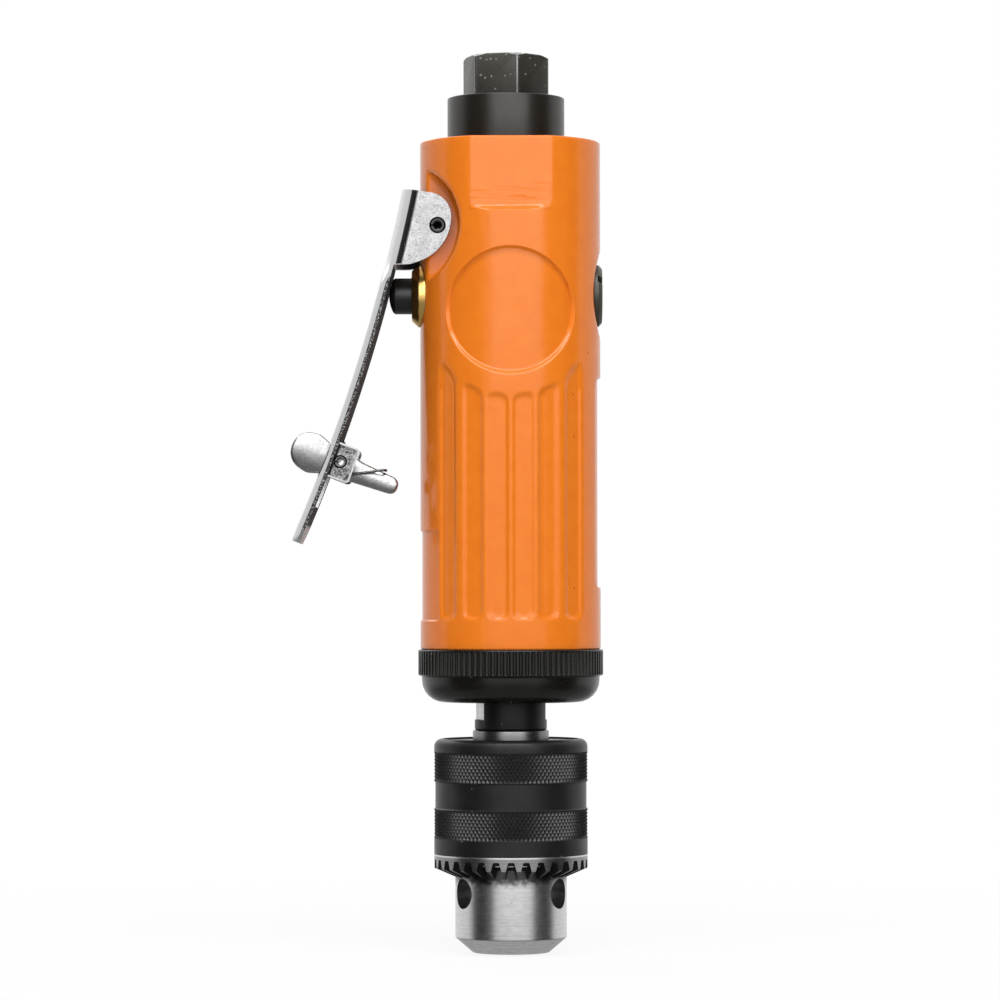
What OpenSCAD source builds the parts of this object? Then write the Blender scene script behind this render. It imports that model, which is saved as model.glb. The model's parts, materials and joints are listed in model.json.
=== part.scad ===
// Inline air drill: a lever throttle with a lock-off, a vane motor, one planetary
// reduction and a three-jaw keyed chuck. Millimetres. The origin is the centre of the
// chuck's nose, +Z runs along the tool to the air inlet, and the throttle lever is at -X.

/* [Chuck] */
// Diameter of the sleeve, which the whole chuck scales with
sleeve_d = 34; // [30:0.5:40]
// Diameter of the chuck's nose
nose_d = 24.7; // [23.8:0.1:25.6]
// Diameter of the flat at the nose's end
nose_face_d = 17; // [15:0.5:19]
// Length of the chamfer round the nose
nose_chamfer_l = 3.3; // [2:0.1:5]
// Length of the nose, up to the inner edge of the gear ring
nose_l = 16.7; // [15.5:0.1:17.5]
// Diameter of the largest shank that the jaws take
shank_d = 10; // [8:0.1:10.4]
// Diameter of the smallest shank that the jaws take
shank_least_d = 2; // [1.5:0.1:4]
// Depth of the shank bore
shank_l = 26; // [20:0.5:29]
// Diameter of a jaw
jaw_d = 5.4; // [5:0.1:5.8]
// Length of a jaw along the tool
jaw_l = 37.2; // [34:0.1:38]
// Lean of the jaws, in degrees
jaw_lean = 14.5; // [13.5:0.1:15]
// Distance of the jaws' axes from the centre, at the nose's end
jaw_axis_r = 4.2; // [4:0.1:4.5]
// How far the open jaws sit inside the nose
jaw_inset = 0.8; // [0.5:0.1:2]
// Diameter of a chuck key hole
key_hole_d = 6.6; // [5.5:0.1:6.8]
// Drop of the key holes below the gear ring
key_drop = 3.5; // [3:0.1:5]
// Depth of a key hole
key_hole_l = 4.8; // [3:0.1:5.2]
// Diameter of the hub behind the sleeve
hub_d = 16.9; // [15:0.1:20]
// Length of the hub behind the sleeve
hub_l = 1.9; // [1:0.1:4]
// Diameter of the thread between chuck and spindle
chuck_thread_d = 9.5; // [8:0.1:12]
// Length of the thread between chuck and spindle
chuck_thread_l = 14.5; // [10:0.5:16]

/* [Chuck sleeve] */
// Length of the sleeve above the gear's outer edge
sleeve_l = 28.5; // [27:0.1:34]
// Wall of the sleeve
sleeve_wall = 2; // [1.8:0.1:2.2]
// Rounding of the sleeve's back edge
sleeve_edge_r = 1.8; // [0.5:0.1:1.9]
// Number of bevel gear teeth
gear_teeth = 32; // [24:1:40]
// Rise of the tooth cone from its inner to its outer edge
gear_slope_l = 2; // [1.5:0.1:3]
// Height of the toothed band on the sleeve's side
gear_band_l = 2.6; // [2.2:0.1:4]
// Depth of the gaps between the teeth
gear_gap_depth = 2.3; // [1.5:0.1:2.4]
// Length of the plain groove between the two grip bands
grip_groove_l = 6; // [3:0.1:9]
// Rise of the plain groove above the gear's outer edge
grip_groove_rise = 13.1; // [9:0.1:15]
// Depth of the plain groove
grip_groove_depth = 0.25; // [0.1:0.05:0.6]
// Length of the split nut inside the sleeve
chuck_nut_l = 5.3; // [4:0.1:6]
// Thickness of the sleeve's floor under the split nut
chuck_nut_seat_l = 2.9; // [2.7:0.1:4]
// Wall of the split nut at its lower end, over the backs of the jaws
chuck_nut_wall = 2.91; // [2.8:0.01:3.1]

/* [Spindle] */
// Diameter of the spindle's flange
flange_d = 16; // [14:0.1:16.6]
// Length of the spindle's flange
flange_l = 2.3; // [1.5:0.1:5]
// Distance across the spindle's wrench flats
flats_af = 14; // [11:0.1:15]
// Length of the spindle's wrench flats
flats_l = 3.7; // [3:0.1:8]
// Turn of the wrench flats about the tool, in degrees
flats_turn = 13; // [0:1:90]
// Bore of the spindle bearing, as a share of its outer diameter
spindle_bearing_share = 0.5667; // [0.55:0.005:0.6]
// Width of the spindle bearing
spindle_bearing_w = 7; // [6:0.1:8]
// Thickness of the spindle seal between spindle and nut
spindle_seal_t = 2.5; // [1.5:0.1:3.5]

/* [Clamp nut] */
// How far the fluted ring stands out from the housing
nut_proud = 0.5; // [0.2:0.1:1.5]
// Length of the fluted ring
nut_ring_l = 6; // [4:0.1:9]
// How far the domed end stands in from the housing
nut_dome_inset = 0.3; // [0:0.1:1.5]
// Length of the domed end
nut_dome_l = 5.7; // [5.2:0.1:8]
// Rounding of the domed end
nut_dome_r = 5; // [2:0.1:5]
// Thickness of the lip behind the bearing
nut_lip_l = 2; // [1.5:0.1:3]
// Thickness of the nut's wall round the bearing
nut_wall = 3; // [2.5:0.1:3.5]
// Length of the nut's thread in the housing
nut_thread_l = 8; // [5:0.1:10]

/* [Gears] */
// Teeth of the sun pinion
sun_teeth = 12; // [12:3:15]
// Teeth of a planet gear
planet_teeth = 15; // [15:3:18]
// Length of the ring gear
ring_gear_l = 8; // [7:0.1:12]
// Wall of the ring gear behind its teeth
ring_gear_wall = 1.55; // [1:0.05:2.5]
// Width of a planet gear
planet_w = 6.4; // [5:0.1:6.6]
// Diameter of a planet pin
planet_pin_d = 4; // [3:0.1:4.6]
// Thickness of the planet carrier
carrier_l = 6.4; // [4:0.1:8]

/* [Motor] */
// Length of the motor cylinder
cylinder_l = 34; // [28:0.5:50]
// Diameter of the rotor, as a share of the housing's bore
rotor_share = 0.706; // [0.65:0.002:0.72]
// Offset of the cylinder's bore from the rotor, as a share of the housing's bore
bore_offset_share = 0.0412; // [0.03:0.001:0.05]
// Number of rotor blades
blade_count = 5; // [4:1:6]
// Thickness of a rotor blade
blade_t = 2; // [1.5:0.1:2.4]
// Height of a rotor blade, as a share of the rotor's diameter
blade_share = 0.233; // [0.18:0.001:0.25]
// Outer diameter of the motor bearings, as a share of the housing's bore
motor_bearing_share = 0.647; // [0.6:0.001:0.68]
// Bore of the motor bearings, as a share of their outer diameter
motor_bearing_bore_share = 0.4546; // [0.45:0.0001:0.47]
// Width of the motor bearings
motor_bearing_w = 6; // [5:0.1:8]
// Wall of an end plate between bearing and rotor
plate_wall = 2.5; // [2:0.1:4]
// Diameter of the cylinder's dowel
dowel_d = 2; // [1.5:0.1:2.5]

/* [Housing] */
// Wall of the housing round the motor
housing_wall = 3; // [2.7:0.1:3.3]
// Diameter of the housing
body_d = 40; // [39.4:0.1:42]
// Rise of the throttle valve above the motor
valve_rise = 11.2; // [10:0.1:16]
// Rise of the lever's pivot above the throttle valve
pivot_rise = 15; // [14:0.1:20]
// Length of the housing above the lever's pivot
head_l = 19; // [17:0.1:30]
// Distance across the housing's wrench flats, as a share of its diameter
body_flats_share = 0.9; // [0.87:0.005:0.95]
// Length of the housing's wrench flats
body_flats_l = 16.4; // [10:0.1:18]
// Diameter of the thumb recess, as a share of the housing's
thumb_share = 0.695; // [0.5:0.005:0.75]
// Drop of the thumb recess below the throttle valve
thumb_drop = 4.2; // [0:0.1:8]
// Depth of the thumb recess
thumb_depth = 0.6; // [0.2:0.05:1]
// Width of a flute, as a share of the housing's diameter
flute_share = 0.105; // [0.08:0.001:0.12]
// Depth of a flute
flute_depth = 0.6; // [0.2:0.05:1]
// Rise of the flutes' lower ends above the clamp nut
flute_rise = 6.2; // [4:0.1:12]
// Radius about the thumb recess at which the flutes end, as a share of the housing's diameter
flute_end_share = 0.465; // [0.45:0.005:0.6]
// Width of the panel under the lever, as a share of the housing's diameter
lever_panel_share = 0.615; // [0.45:0.005:0.65]
// Height of the panel under the lever
lever_panel_l = 19.7; // [10:0.1:30]
// Depth of the panel under the lever
lever_panel_depth = 0.4; // [0.2:0.05:0.8]
// Width of the bare plate panel opposite the lever, as a share of the housing's diameter
plate_panel_share = 0.36; // [0.25:0.005:0.45]
// Height of the bare plate panel
plate_panel_l = 46.2; // [30:0.1:48]
// Rise of the bare plate panel above the clamp nut
plate_panel_rise = 13.7; // [8:0.1:16]
// Depth of the bare plate panel
plate_panel_depth = 0.7; // [0.2:0.05:1]

/* [Air inlet] */
// How far the inlet's axis lies off the housing's, towards the lever
inlet_offset = 0.9; // [0:0.1:1.2]
// Diameter of the exhaust collar
collar_d = 26; // [25:0.1:30]
// Length of the exhaust collar
collar_l = 10; // [8:0.1:14]
// Wall of the exhaust collar
collar_wall = 1; // [0.8:0.1:1.4]
// Thickness of the exhaust collar's top
collar_top_l = 2.5; // [1.5:0.1:4]
// Number of holes in the exhaust collar
collar_hole_count = 10; // [6:1:12]
// Diameter of a hole in the exhaust collar
collar_hole_d = 1.9; // [1.2:0.1:2]
// Distance across the hexagon
hex_af = 17; // [16:0.1:17.4]
// Length of the hexagon
hex_l = 9.3; // [7:0.1:12]
// Turn of the hexagon about the tool, in degrees
hex_turn = -14; // [-30:1:30]
// Diameter of the bush's thread in the housing
inlet_thread_d = 16; // [15:0.1:16.4]
// Length of the bush's thread in the housing
inlet_thread_l = 14; // [10:0.1:15]
// Diameter of the air inlet's thread
inlet_bore_d = 11.4; // [10:0.1:12]
// Depth of the air inlet's thread
inlet_bore_l = 14; // [10:0.1:16]

/* [Throttle valve] */
// Diameter of the valve's button
button_d = 8; // [7:0.1:8.6]
// Rounding of the button's end
button_dome_r = 8; // [7:0.1:12]
// Diameter of the valve's stem
stem_d = 4; // [3:0.1:4.6]
// Diameter of the valve bush's flange
bush_flange_d = 14; // [13:0.1:16]
// Thickness of the valve bush's flange
bush_flange_l = 3.2; // [2:0.1:3.6]
// Diameter of the valve bush's thread
bush_thread_d = 10.5; // [10.2:0.1:11]
// Length of the valve bush's thread, as a share of the housing's diameter
bush_thread_share = 0.2025; // [0.18:0.0025:0.21]
// Diameter of the valve chamber
chamber_d = 10.1; // [9.8:0.1:10.6]
// Diameter of the regulator's head
regulator_d = 13.8; // [12:0.1:15]
// Thickness of the regulator's head
regulator_l = 2; // [1.5:0.1:3]
// Width of the regulator's slot
regulator_slot_w = 1.6; // [1:0.1:2.5]
// Turn of the regulator's slot from the front, in degrees
regulator_turn = 30; // [0:1:90]
// Wire of the valve spring
valve_wire_d = 0.7; // [0.5:0.05:0.8]
// Turns of the valve spring
valve_coils = 3; // [2:0.5:3]

/* [Throttle lever] */
// Distance of the lever's pivot inside the housing's surface
pivot_inset = 4; // [3.4:0.1:4.4]
// Diameter of the pivot pin
pivot_pin_d = 3.5; // [3:0.1:3.6]
// Thickness of the lever's sheet
lever_t = 2; // [1.5:0.1:2.2]
// Width of the housing between the lever's ears, as a share of its diameter
lever_boss_share = 0.4; // [0.37:0.005:0.41]
// Length of the lever along its outer face
lever_l = 81.5; // [76:0.5:90]
// Radius of the lever's bow
lever_bow_r = 390; // [300:5:500]
// Lean of the lever's upper end, in degrees
lever_lean = 11.5; // [10:0.1:13]
// Distance of the lever's outer face beyond its pivot, at its upper end
lever_stand = 7.9; // [7.5:0.1:9]
// Rise of the lever's upper end above its pivot
lever_rise = 8.3; // [7:0.1:10]
// Radius of an ear's round end
ear_r = 6; // [5.5:0.1:6.4]
// Length of an ear along the lever
ear_l = 15.9; // [14:0.1:18]
// Radius of the pocket in the housing round an ear
pocket_r = 13.9; // [12:0.1:15]

/* [Lock-off] */
// Drop of the lock-off's pin below the lever's pivot
lock_drop = 52; // [48:0.1:56]
// Distance of the lock-off's pin inside the lever
lock_inset = 1.6; // [1.4:0.1:2.5]
// Diameter of the lock-off's pin
lock_pin_d = 2.9; // [2:0.1:3.2]
// Width of the lock-off
lock_w = 6; // [4:0.1:7]
// Swing of the lock-off, in degrees
lock_swing = 66; // [60:1:70]
// Reach of the lock-off's finger beyond its pin
finger_l = 13.6; // [11:0.1:13.7]
// Radius of the lock-off's thumb lobe
lobe_r = 4.4; // [3.5:0.1:5]
// Distance of the thumb lobe's centre outside the pin
lobe_out = 7.1; // [6:0.1:8]
// Width of the slot in the lever
lock_slot_w = 13.2; // [13.2:0.1:13.6]
// Wire of the lock-off's spring
lock_wire_d = 0.6; // [0.5:0.05:0.65]
// Radius of the spring's coil, at the middle of its wire
lock_coil_r = 3; // [2.7:0.05:3.1]
// Turns of the spring's coil
lock_coils = 2; // [1:1:2]

/* [Hidden] */
$fn = 96;

// How far a cut runs past a face
overrun = 1;
// Radial gap of a seated fit
fit = 0.03;
// Radial gap of a turning or sliding fit
running = 0.08;
// Gap between the faces of pieces that move past each other
slip = 0.2;
// Gap round a piece that swings
room = 0.3;

// Step that a turned bore is rounded to
turning_step = 0.01;

// The chuck's heights and radii, in its own scale; the split nut over the jaws' backs sets the sleeve's bore
z_gear_in = nose_l;
z_gear_out = z_gear_in + gear_slope_l;
z_chuck_nut = z_gear_in + chuck_nut_seat_l;
z_sleeve_top = z_gear_out + sleeve_l;
z_hub_top = z_sleeve_top + hub_l;
nose_r = nose_d / 2;
sleeve_bore_r = round((jaw_back_r(z_chuck_nut) + chuck_nut_wall + fit) / turning_step) * turning_step;
sleeve_r = sleeve_bore_r + sleeve_wall;
chuck_share = sleeve_d / (2 * sleeve_r);

// Radii that several pieces share
body_r = body_d / 2;
bay_d = body_d - 2 * housing_wall;
bay_r = bay_d / 2;
rotor_d = bay_d * rotor_share;
motor_bearing_od = bay_d * motor_bearing_share;
motor_bearing_bore = motor_bearing_od * motor_bearing_bore_share;
rotor_r = rotor_d / 2;
nut_d = body_d + 2 * nut_proud;
nut_dome_d = body_d - 2 * nut_dome_inset;
nut_thread_step = 1;
nut_thread_d = bay_d + 2 * nut_thread_step;
spindle_bearing_od = nut_thread_d - 2 * nut_wall;
spindle_bearing_bore = spindle_bearing_od * spindle_bearing_share;
spindle_seal_od = spindle_bearing_bore + 2 * spindle_seal_t;

// Heights, stacked from the chuck to the air inlet
z_chuck_top = chuck_share * z_hub_top;
z_flats = z_chuck_top + flange_l;
z_journal = z_flats + flats_l;
z_nut = z_journal + slip;
z_lip = z_nut + nut_lip_l;
z_nut_ring = z_nut + nut_dome_l;
z_body = z_nut_ring + nut_ring_l;
z_nut_end = z_body + nut_thread_l;
z_carrier = z_lip + spindle_bearing_w;
z_ring_gear = z_nut_end + slip;
z_front_plate = z_ring_gear + ring_gear_l;
z_cylinder = z_front_plate + motor_bearing_w + plate_wall;
z_rear_plate = z_cylinder + cylinder_l;
z_bay_end = z_rear_plate + plate_wall + motor_bearing_w;
z_valve = z_bay_end + valve_rise;
z_pivot = z_valve + pivot_rise;
z_top = z_pivot + head_l;
z_collar_top = z_top + collar_l;
z_inlet = z_collar_top + hex_l;

// Chuck: jaws at the front and at thirds of a turn, key holes between them
jaw_count = 3;
jaw_step = 360 / jaw_count;
jaw_turn = -90;
jaw_gap = 0.15;
jaw_grip_r = shank_d / 2 + jaw_gap;
jaw_apex_x = jaw_grip_r - shank_least_d / 2 + jaw_gap;
z_jaw_top = jaw_inset + jaw_l;
nut_split = 0.6;
chuck_groove_room = 0.6;
chuck_thread_room = 1;
core_drop = 0.4;
gear_gap_open_share = 0.56;
gear_gap_root_share = 0.2;
gear_pitch = 2 * PI * sleeve_r / gear_teeth;

// Gears: the module follows from the ring gear's wall
gear_addendum_share = 0.8;
gear_dedendum_share = 1;
gear_pressure = 25;
gear_backlash = 0.14;
flank_steps = 4;
planet_count = 3;
planet_turn = 90;
ring_teeth = sun_teeth + 2 * planet_teeth;
gear_module = (bay_r - fit - ring_gear_wall) / (ring_teeth / 2 + gear_dedendum_share);
carrier_orbit = gear_module * (sun_teeth + planet_teeth) / 2;
z_planet = z_ring_gear + (ring_gear_l - planet_w) / 2;
spacer_wall = 1.4;
carrier_d = spindle_bearing_od - 2 * (fit + spacer_wall + room);
carrier_shoulder = 1.5;
carrier_hub_d = spindle_bearing_bore + 2 * carrier_shoulder;
planet_pin_bite = 5;

// Bearings: races and balls take these shares of the space between bore and rim
race_share = 0.3;
ball_share = 0.27;
ball_spacing_share = 1.35;

// Motor
rotor_film = 0.2;
bore_offset = bay_d * bore_offset_share;
blade_h = rotor_d * blade_share;
blade_inset = 0.1;
blade_slot_room = 0.5;
cylinder_bore_r = rotor_r + bore_offset + rotor_film;
shaft_room = 0.6;
exhaust_flat_depth = 1.4;
exhaust_flat_y = bay_r - exhaust_flat_depth;
exhaust_port_d = 3;
exhaust_port_count = 3;
feed_groove_w = 4;
feed_groove_l = 3;
dowel_turn = 225;
dowel_orbit = (bay_r + cylinder_bore_r - bore_offset) / 2;
dowel_bite = 2;

// Air ways in the housing
plate_port_d = (bay_r - motor_bearing_od / 2) / 2;
plate_port_orbit = (motor_bearing_od / 2 + bay_r) / 2;
air_pocket_d = 8.6;
air_pocket_share = 0.718;
air_pocket_orbit = bay_r * air_pocket_share;
air_pocket_l = 2;
journal_recess_l = 0.5;
journal_recess_wall = 3;
journal_recess_d = motor_bearing_bore + 2 * journal_recess_wall;
feed_d = 3.6;
exhaust_way_d = 3.4;
exhaust_way_wall = 0.5;
exhaust_way_orbit = inlet_thread_d / 2 + exhaust_way_d / 2 + exhaust_way_wall;
exhaust_way_turns = [-18, 18];
inlet_seal_l = 1.5;
inlet_well_d = 12;
inlet_well_l = 5;
inlet_way_d = 4.2;
hex_face_share = 0.95;
hex_chamfer_share = 0.6;
screen_step = 0.7;
screen_d = inlet_bore_d - 2 * screen_step;
screen_l = 1;
inlet_through_d = inlet_bore_d - 4 * screen_step;
z_inlet_bush = z_top - inlet_thread_l;
z_inlet_seat = z_inlet_bush - inlet_seal_l;
collar_hole_orbit = (hex_af / sqrt(3) + collar_d / 2 - collar_wall) / 2;

// Housing surface
flute_angles = [8.1, 24.6, 44];
flute_w = body_d * flute_share;
flute_corner_r = flute_w / 4;
flute_end_r = body_d * flute_end_share;
thumb_d = body_d * thumb_share;
lever_panel_w = body_d * lever_panel_share;
plate_panel_w = body_d * plate_panel_share;
body_flats_af = body_d * body_flats_share;
panel_corner_r = 3;
lever_panel_rise = 6.4;
body_edge = 0.4;
pocket_out = 9;
scoop_rise = 1.8;
scoop_slope = 1.2;
scoop_d = regulator_d + 2 * room;

// Throttle valve, along X: the lever is at -X and the regulator at +X
bush_spot_d = bush_flange_d + 2 * slip;
bush_seat_x = -sqrt(body_r * body_r - bush_spot_d * bush_spot_d / 4);
bush_thread_l = body_d * bush_thread_share;
bush_end_x = bush_seat_x + bush_thread_l;
bush_floor_l = 2.5;
bush_seal_l = 1.2;
bush_seal_d = 6.6;
feed_gap_share = 0.0625;
feed_gap_l = body_d * feed_gap_share;
land_x = bush_end_x + feed_gap_l;
land_l = feed_gap_l;
land_gap = 1.2;
land_d = stem_d + 2 * land_gap;
seat_x = land_x + land_l;
valve_seal_l = 0.8;
valve_head_gap = 0.55;
valve_head_d = chamber_d - 2 * valve_head_gap;
valve_head_l = 1.7;
valve_spring_x = seat_x + valve_seal_l + valve_head_l;
valve_spring_share = 0.1375;
valve_spring_l = body_d * valve_spring_share;
regulator_x = valve_spring_x + valve_spring_l;
regulator_way_l = 3.16;
inlet_way_x = regulator_x + regulator_way_l;
regulator_wall = 1.2;
regulator_port_l = 7.5;
regulator_slot_depth = 1.1;
regulator_neck_step = 1;
regulator_neck_d = chamber_d - 2 * regulator_neck_step;
regulator_ring_l = 1;
regulator_ring_grip = 0.9;
regulator_ring_gap = 3;
scoop_x = body_r - scoop_rise;
regulator_neck_x = scoop_x - 2 * regulator_ring_l;
regulator_seal_d = 0.9;
regulator_seal_back = 3;
valve_coil_gap = 0.5;
valve_coil_r = chamber_d / 2 - valve_wire_d / 2 - valve_coil_gap;
valve_travel = 1.65;

// Throttle lever: an arc about a centre far out on the lever's side
pivot_x = body_r - pivot_inset;
lever_boss_w = body_d * lever_boss_share;
lever_top_x = -pivot_x - lever_stand;
lever_top_z = z_pivot + lever_rise;
lever_cx = lever_top_x - lever_bow_r * cos(lever_lean);
lever_cz = lever_top_z + lever_bow_r * sin(lever_lean);
lever_end = lever_lean + lever_l / lever_bow_r * 180 / PI;
lever_in_r = lever_bow_r + lever_t;
lever_mid_r = lever_bow_r + lever_t / 2;
lever_bow_fn = 720;
lever_inner_w = lever_boss_w + 2 * room;
lever_w = lever_inner_w + 2 * lever_t;
ear_back = 2.9;
ear_lift = 1.3;
ear_x = -pivot_x - ear_back;
ear_z = z_pivot + ear_lift;
z_ear_low = ear_z + ear_r - ear_l;
pin_hollow_share = 0.6;

// Where the lever's inner face meets the button, and how far out the button stands
button_lean = asin((lever_cz - z_valve) / lever_in_r);
button_gap = 0.15;
button_x = lever_x(z_valve, lever_in_r) + (button_dome_r + button_gap) / cos(button_lean) - button_dome_r;
button_end_x = bush_end_x - bush_floor_l - valve_travel - slip;

// Lock-off, in a frame at its pin: X points at the body and Y up along the lever
lock_z = z_pivot - lock_drop;
lock_lean = asin((lever_cz - lock_z) / lever_in_r);
lock_x = lever_x(lock_z, lever_in_r) + lock_inset / cos(lock_lean);
lock_hub_r = 3.4;
lobe_drop = 0.3;
neck_low = 3.2;
finger_root_top = 2.15;
finger_root_low = 3.5;
finger_tip_top = 0.95;
finger_tip_low = 2.7;
lock_slot_top = lock_coil_r + lock_wire_d / 2 + 2 * slip;
lock_slot_low = lobe_out * sin(lock_swing) + lobe_r + room;
tab_reach = 3.3;
tab_half = 4;
tab_corner_r = 1;

// Lock-off spring: a leg on the lever, the coil, and a leg that hooks over the finger
lock_wire_gap = 0.45;
lock_pitch = lock_wire_d + lock_wire_gap;
lock_leg_turn = 125;
lock_leg_l = 6.2;
lock_hook_x = 9.9;
lock_hook_drop = 1.75;
lock_hook_l = 3.2;
lock_hook_bend_r = 0.9;
lock_coil_y = -(lock_slot_w / 2 - slip - lock_wire_d / 2);
coil_rings = 8;
leg_rings = 3;
wire_sides = 6;

function polar(r, a) = [r * cos(a), r * sin(a)];
function lever_x(z, r) = lever_cx + sqrt(r * r - (lever_cz - z) * (lever_cz - z));
function jaw_r(z) = jaw_axis_r + z * tan(jaw_lean);
function jaw_back_r(z) = jaw_r(z) + jaw_d / 2 / cos(jaw_lean);
function involute(a) = tan(a) * 180 / PI - a;
function unit(v) = v / norm(v);

// Half the angle that a tooth takes up at radius r
function tooth_half(r, teeth, slack) =
    let (pitch_r = gear_module * teeth / 2)
    let (base_r = pitch_r * cos(gear_pressure))
    let (a = acos(base_r / max(r, base_r)))
    90 / teeth + involute(gear_pressure) - involute(a) + slack / pitch_r * 90 / PI;

function gear_outline(teeth, root_r, tip_r, slack) = [
    for (i = [0 : teeth - 1])
        for (side = [-1, 1])
            for (k = [0 : flank_steps])
                let (step = side < 0 ? k : flank_steps - k)
                let (r = root_r + (tip_r - root_r) * step / flank_steps)
                polar(r, i * 360 / teeth + side * tooth_half(r, teeth, slack))
];

function outside_gear(teeth) = gear_outline(
    teeth,
    gear_module * (teeth / 2 - gear_dedendum_share),
    gear_module * (teeth / 2 + gear_addendum_share),
    -gear_backlash / 2
);

// A tube swept along points, with its rings turned as little as possible
function tangents(p) = [
    for (i = [0 : len(p) - 1]) unit(p[min(i + 1, len(p) - 1)] - p[max(i - 1, 0)])
];
function normals(t, i, n) =
    i == len(t) ? [] :
    let (m = unit(n - t[i] * (n * t[i])))
    concat([m], normals(t, i + 1, m));
function tube_points(p, r, across) =
    let (t = tangents(p))
    let (n = normals(t, 0, across))
    [
        for (i = [0 : len(p) - 1])
            for (k = [0 : wire_sides - 1])
                let (a = 360 * k / wire_sides)
                p[i] + r * (cos(a) * n[i] + sin(a) * cross(t[i], n[i]))
    ];
function tube_faces(rings) = concat(
    [for (k = [1 : wire_sides - 2]) [0, k + 1, k]],
    [for (k = [1 : wire_sides - 2]) (rings - 1) * wire_sides * [1, 1, 1] + [0, k, k + 1]],
    [
        for (i = [0 : rings - 2])
            for (k = [0 : wire_sides - 1])
                let (a = i * wire_sides + k)
                let (b = i * wire_sides + (k + 1) % wire_sides)
                for (f = [[a, b, b + wire_sides], [a, b + wire_sides, a + wire_sides]]) f
    ]
);
function least_gap(p, d) = min([
    for (i = [0 : len(p) - 1])
        for (j = [i + coil_rings / 2 : len(p) - 1])
            norm(p[i] - p[j]) - d
]);

// The valve spring winds along X between the valve's head and the regulator's rim
valve_spring_rings = valve_coils * coil_rings;
valve_spring_run = valve_spring_l - valve_wire_d - 2 * running;
valve_path = [
    for (i = [0 : valve_spring_rings])
        let (share = i / valve_spring_rings)
        let (across = polar(valve_coil_r, 360 * valve_coils * share))
        [
            valve_spring_x + running + valve_wire_d / 2 + valve_spring_run * share,
            across[0],
            z_valve + across[1]
        ]
];

// The lock-off's spring winds along Y, and its points are given from the lock-off's pin
lock_start = polar(lock_coil_r, lock_leg_turn);
lock_leg_way = [sin(lock_leg_turn), -cos(lock_leg_turn)];
lock_turns = lock_coils + (270 - lock_leg_turn) / 360;
lock_spring_rings = ceil(lock_turns * coil_rings);
lock_coil_end_y = lock_coil_y + lock_pitch * lock_turns;
lock_path = concat(
    [
        for (i = [leg_rings : -1 : 1])
            let (p = lock_start + lock_leg_way * lock_leg_l * i / leg_rings)
            [p[0], lock_coil_y, p[1]]
    ],
    [
        for (i = [0 : lock_spring_rings])
            let (share = i / lock_spring_rings)
            let (p = polar(lock_coil_r, lock_leg_turn + 360 * lock_turns * share))
            [p[0], lock_coil_y + lock_pitch * lock_turns * share, p[1]]
    ],
    [
        for (i = [1 : leg_rings])
            let (share = i / leg_rings)
            [
                (lock_hook_x - lock_hook_bend_r) * share,
                lock_coil_end_y,
                -lock_coil_r + (lock_coil_r - lock_hook_drop) * share
            ]
    ],
    [
        for (a = [30 : 30 : 90])
            [
                lock_hook_x - lock_hook_bend_r * (1 - sin(a)),
                lock_coil_end_y + lock_hook_bend_r * (1 - cos(a)),
                -lock_hook_drop
            ]
    ],
    [[lock_hook_x, lock_coil_end_y + lock_hook_l, -lock_hook_drop]]
);

echo(str("Least gap of the valve spring to itself: ", least_gap(valve_path, valve_wire_d)));
echo(str("Least gap of the lock-off spring to itself: ", least_gap(lock_path, lock_wire_d)));

module rod_x(d, x0, x1) { translate([x0, 0, z_valve]) rotate([0, 90, 0]) cylinder(d = d, h = x1 - x0); }
module rod_y(d, l, x, z) { translate([x, 0, z]) rotate([90, 0, 0]) cylinder(d = d, h = l, center = true); }
module rod_z(d, z0, z1) { translate([0, 0, z0]) cylinder(d = d, h = z1 - z0); }

module ring_z(d_out, d_in, z0, z1) {
    difference() {
        rod_z(d_out, z0, z1);
        rod_z(d_in, z0 - overrun, z1 + overrun);
    }
}

module ring_x(d_out, d_in, x0, x1) {
    difference() {
        rod_x(d_out, x0, x1);
        rod_x(d_in, x0 - overrun, x1 + overrun);
    }
}

// A flat outline in X and Z, given a width along Y
module plate_y(w) { rotate([90, 0, 0]) linear_extrude(w, center = true) children(); }

module turned(count, start) {
    for (i = [0 : count - 1])
        rotate([0, 0, start + 360 * i / count]) children();
}

// Ball bearings
module outer_race(bore, od, w, z) {
    wall = race_share * (od - bore) / 2;
    difference() {
        ring_z(od - 2 * fit, od - 2 * wall, z, z + w);
        ball_groove(bore, od, w, z);
    }
}

module inner_race(bore, od, w, z) {
    wall = race_share * (od - bore) / 2;
    difference() {
        ring_z(bore + 2 * wall, bore + 2 * fit, z, z + w);
        ball_groove(bore, od, w, z);
    }
}

module ball_groove(bore, od, w, z) {
    translate([0, 0, z + w / 2])
        rotate_extrude()
            translate([(bore + od) / 4, 0])
                circle(r = ball_share * (od - bore) / 2 + running);
}

module balls(bore, od, w, z) {
    ball_r = ball_share * (od - bore) / 2;
    orbit = (bore + od) / 4;
    turned(floor(PI * orbit / (ball_r * ball_spacing_share)), 0)
        translate([orbit, 0, z + w / 2]) sphere(r = ball_r);
}

// Chuck
module jaw_rod(d, z0, z1) {
    translate([jaw_axis_r, 0, 0])
        rotate([0, jaw_lean, 0])
            translate([0, 0, z0 / cos(jaw_lean)])
                cylinder(d = d, h = (z1 - z0) / cos(jaw_lean));
}

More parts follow.
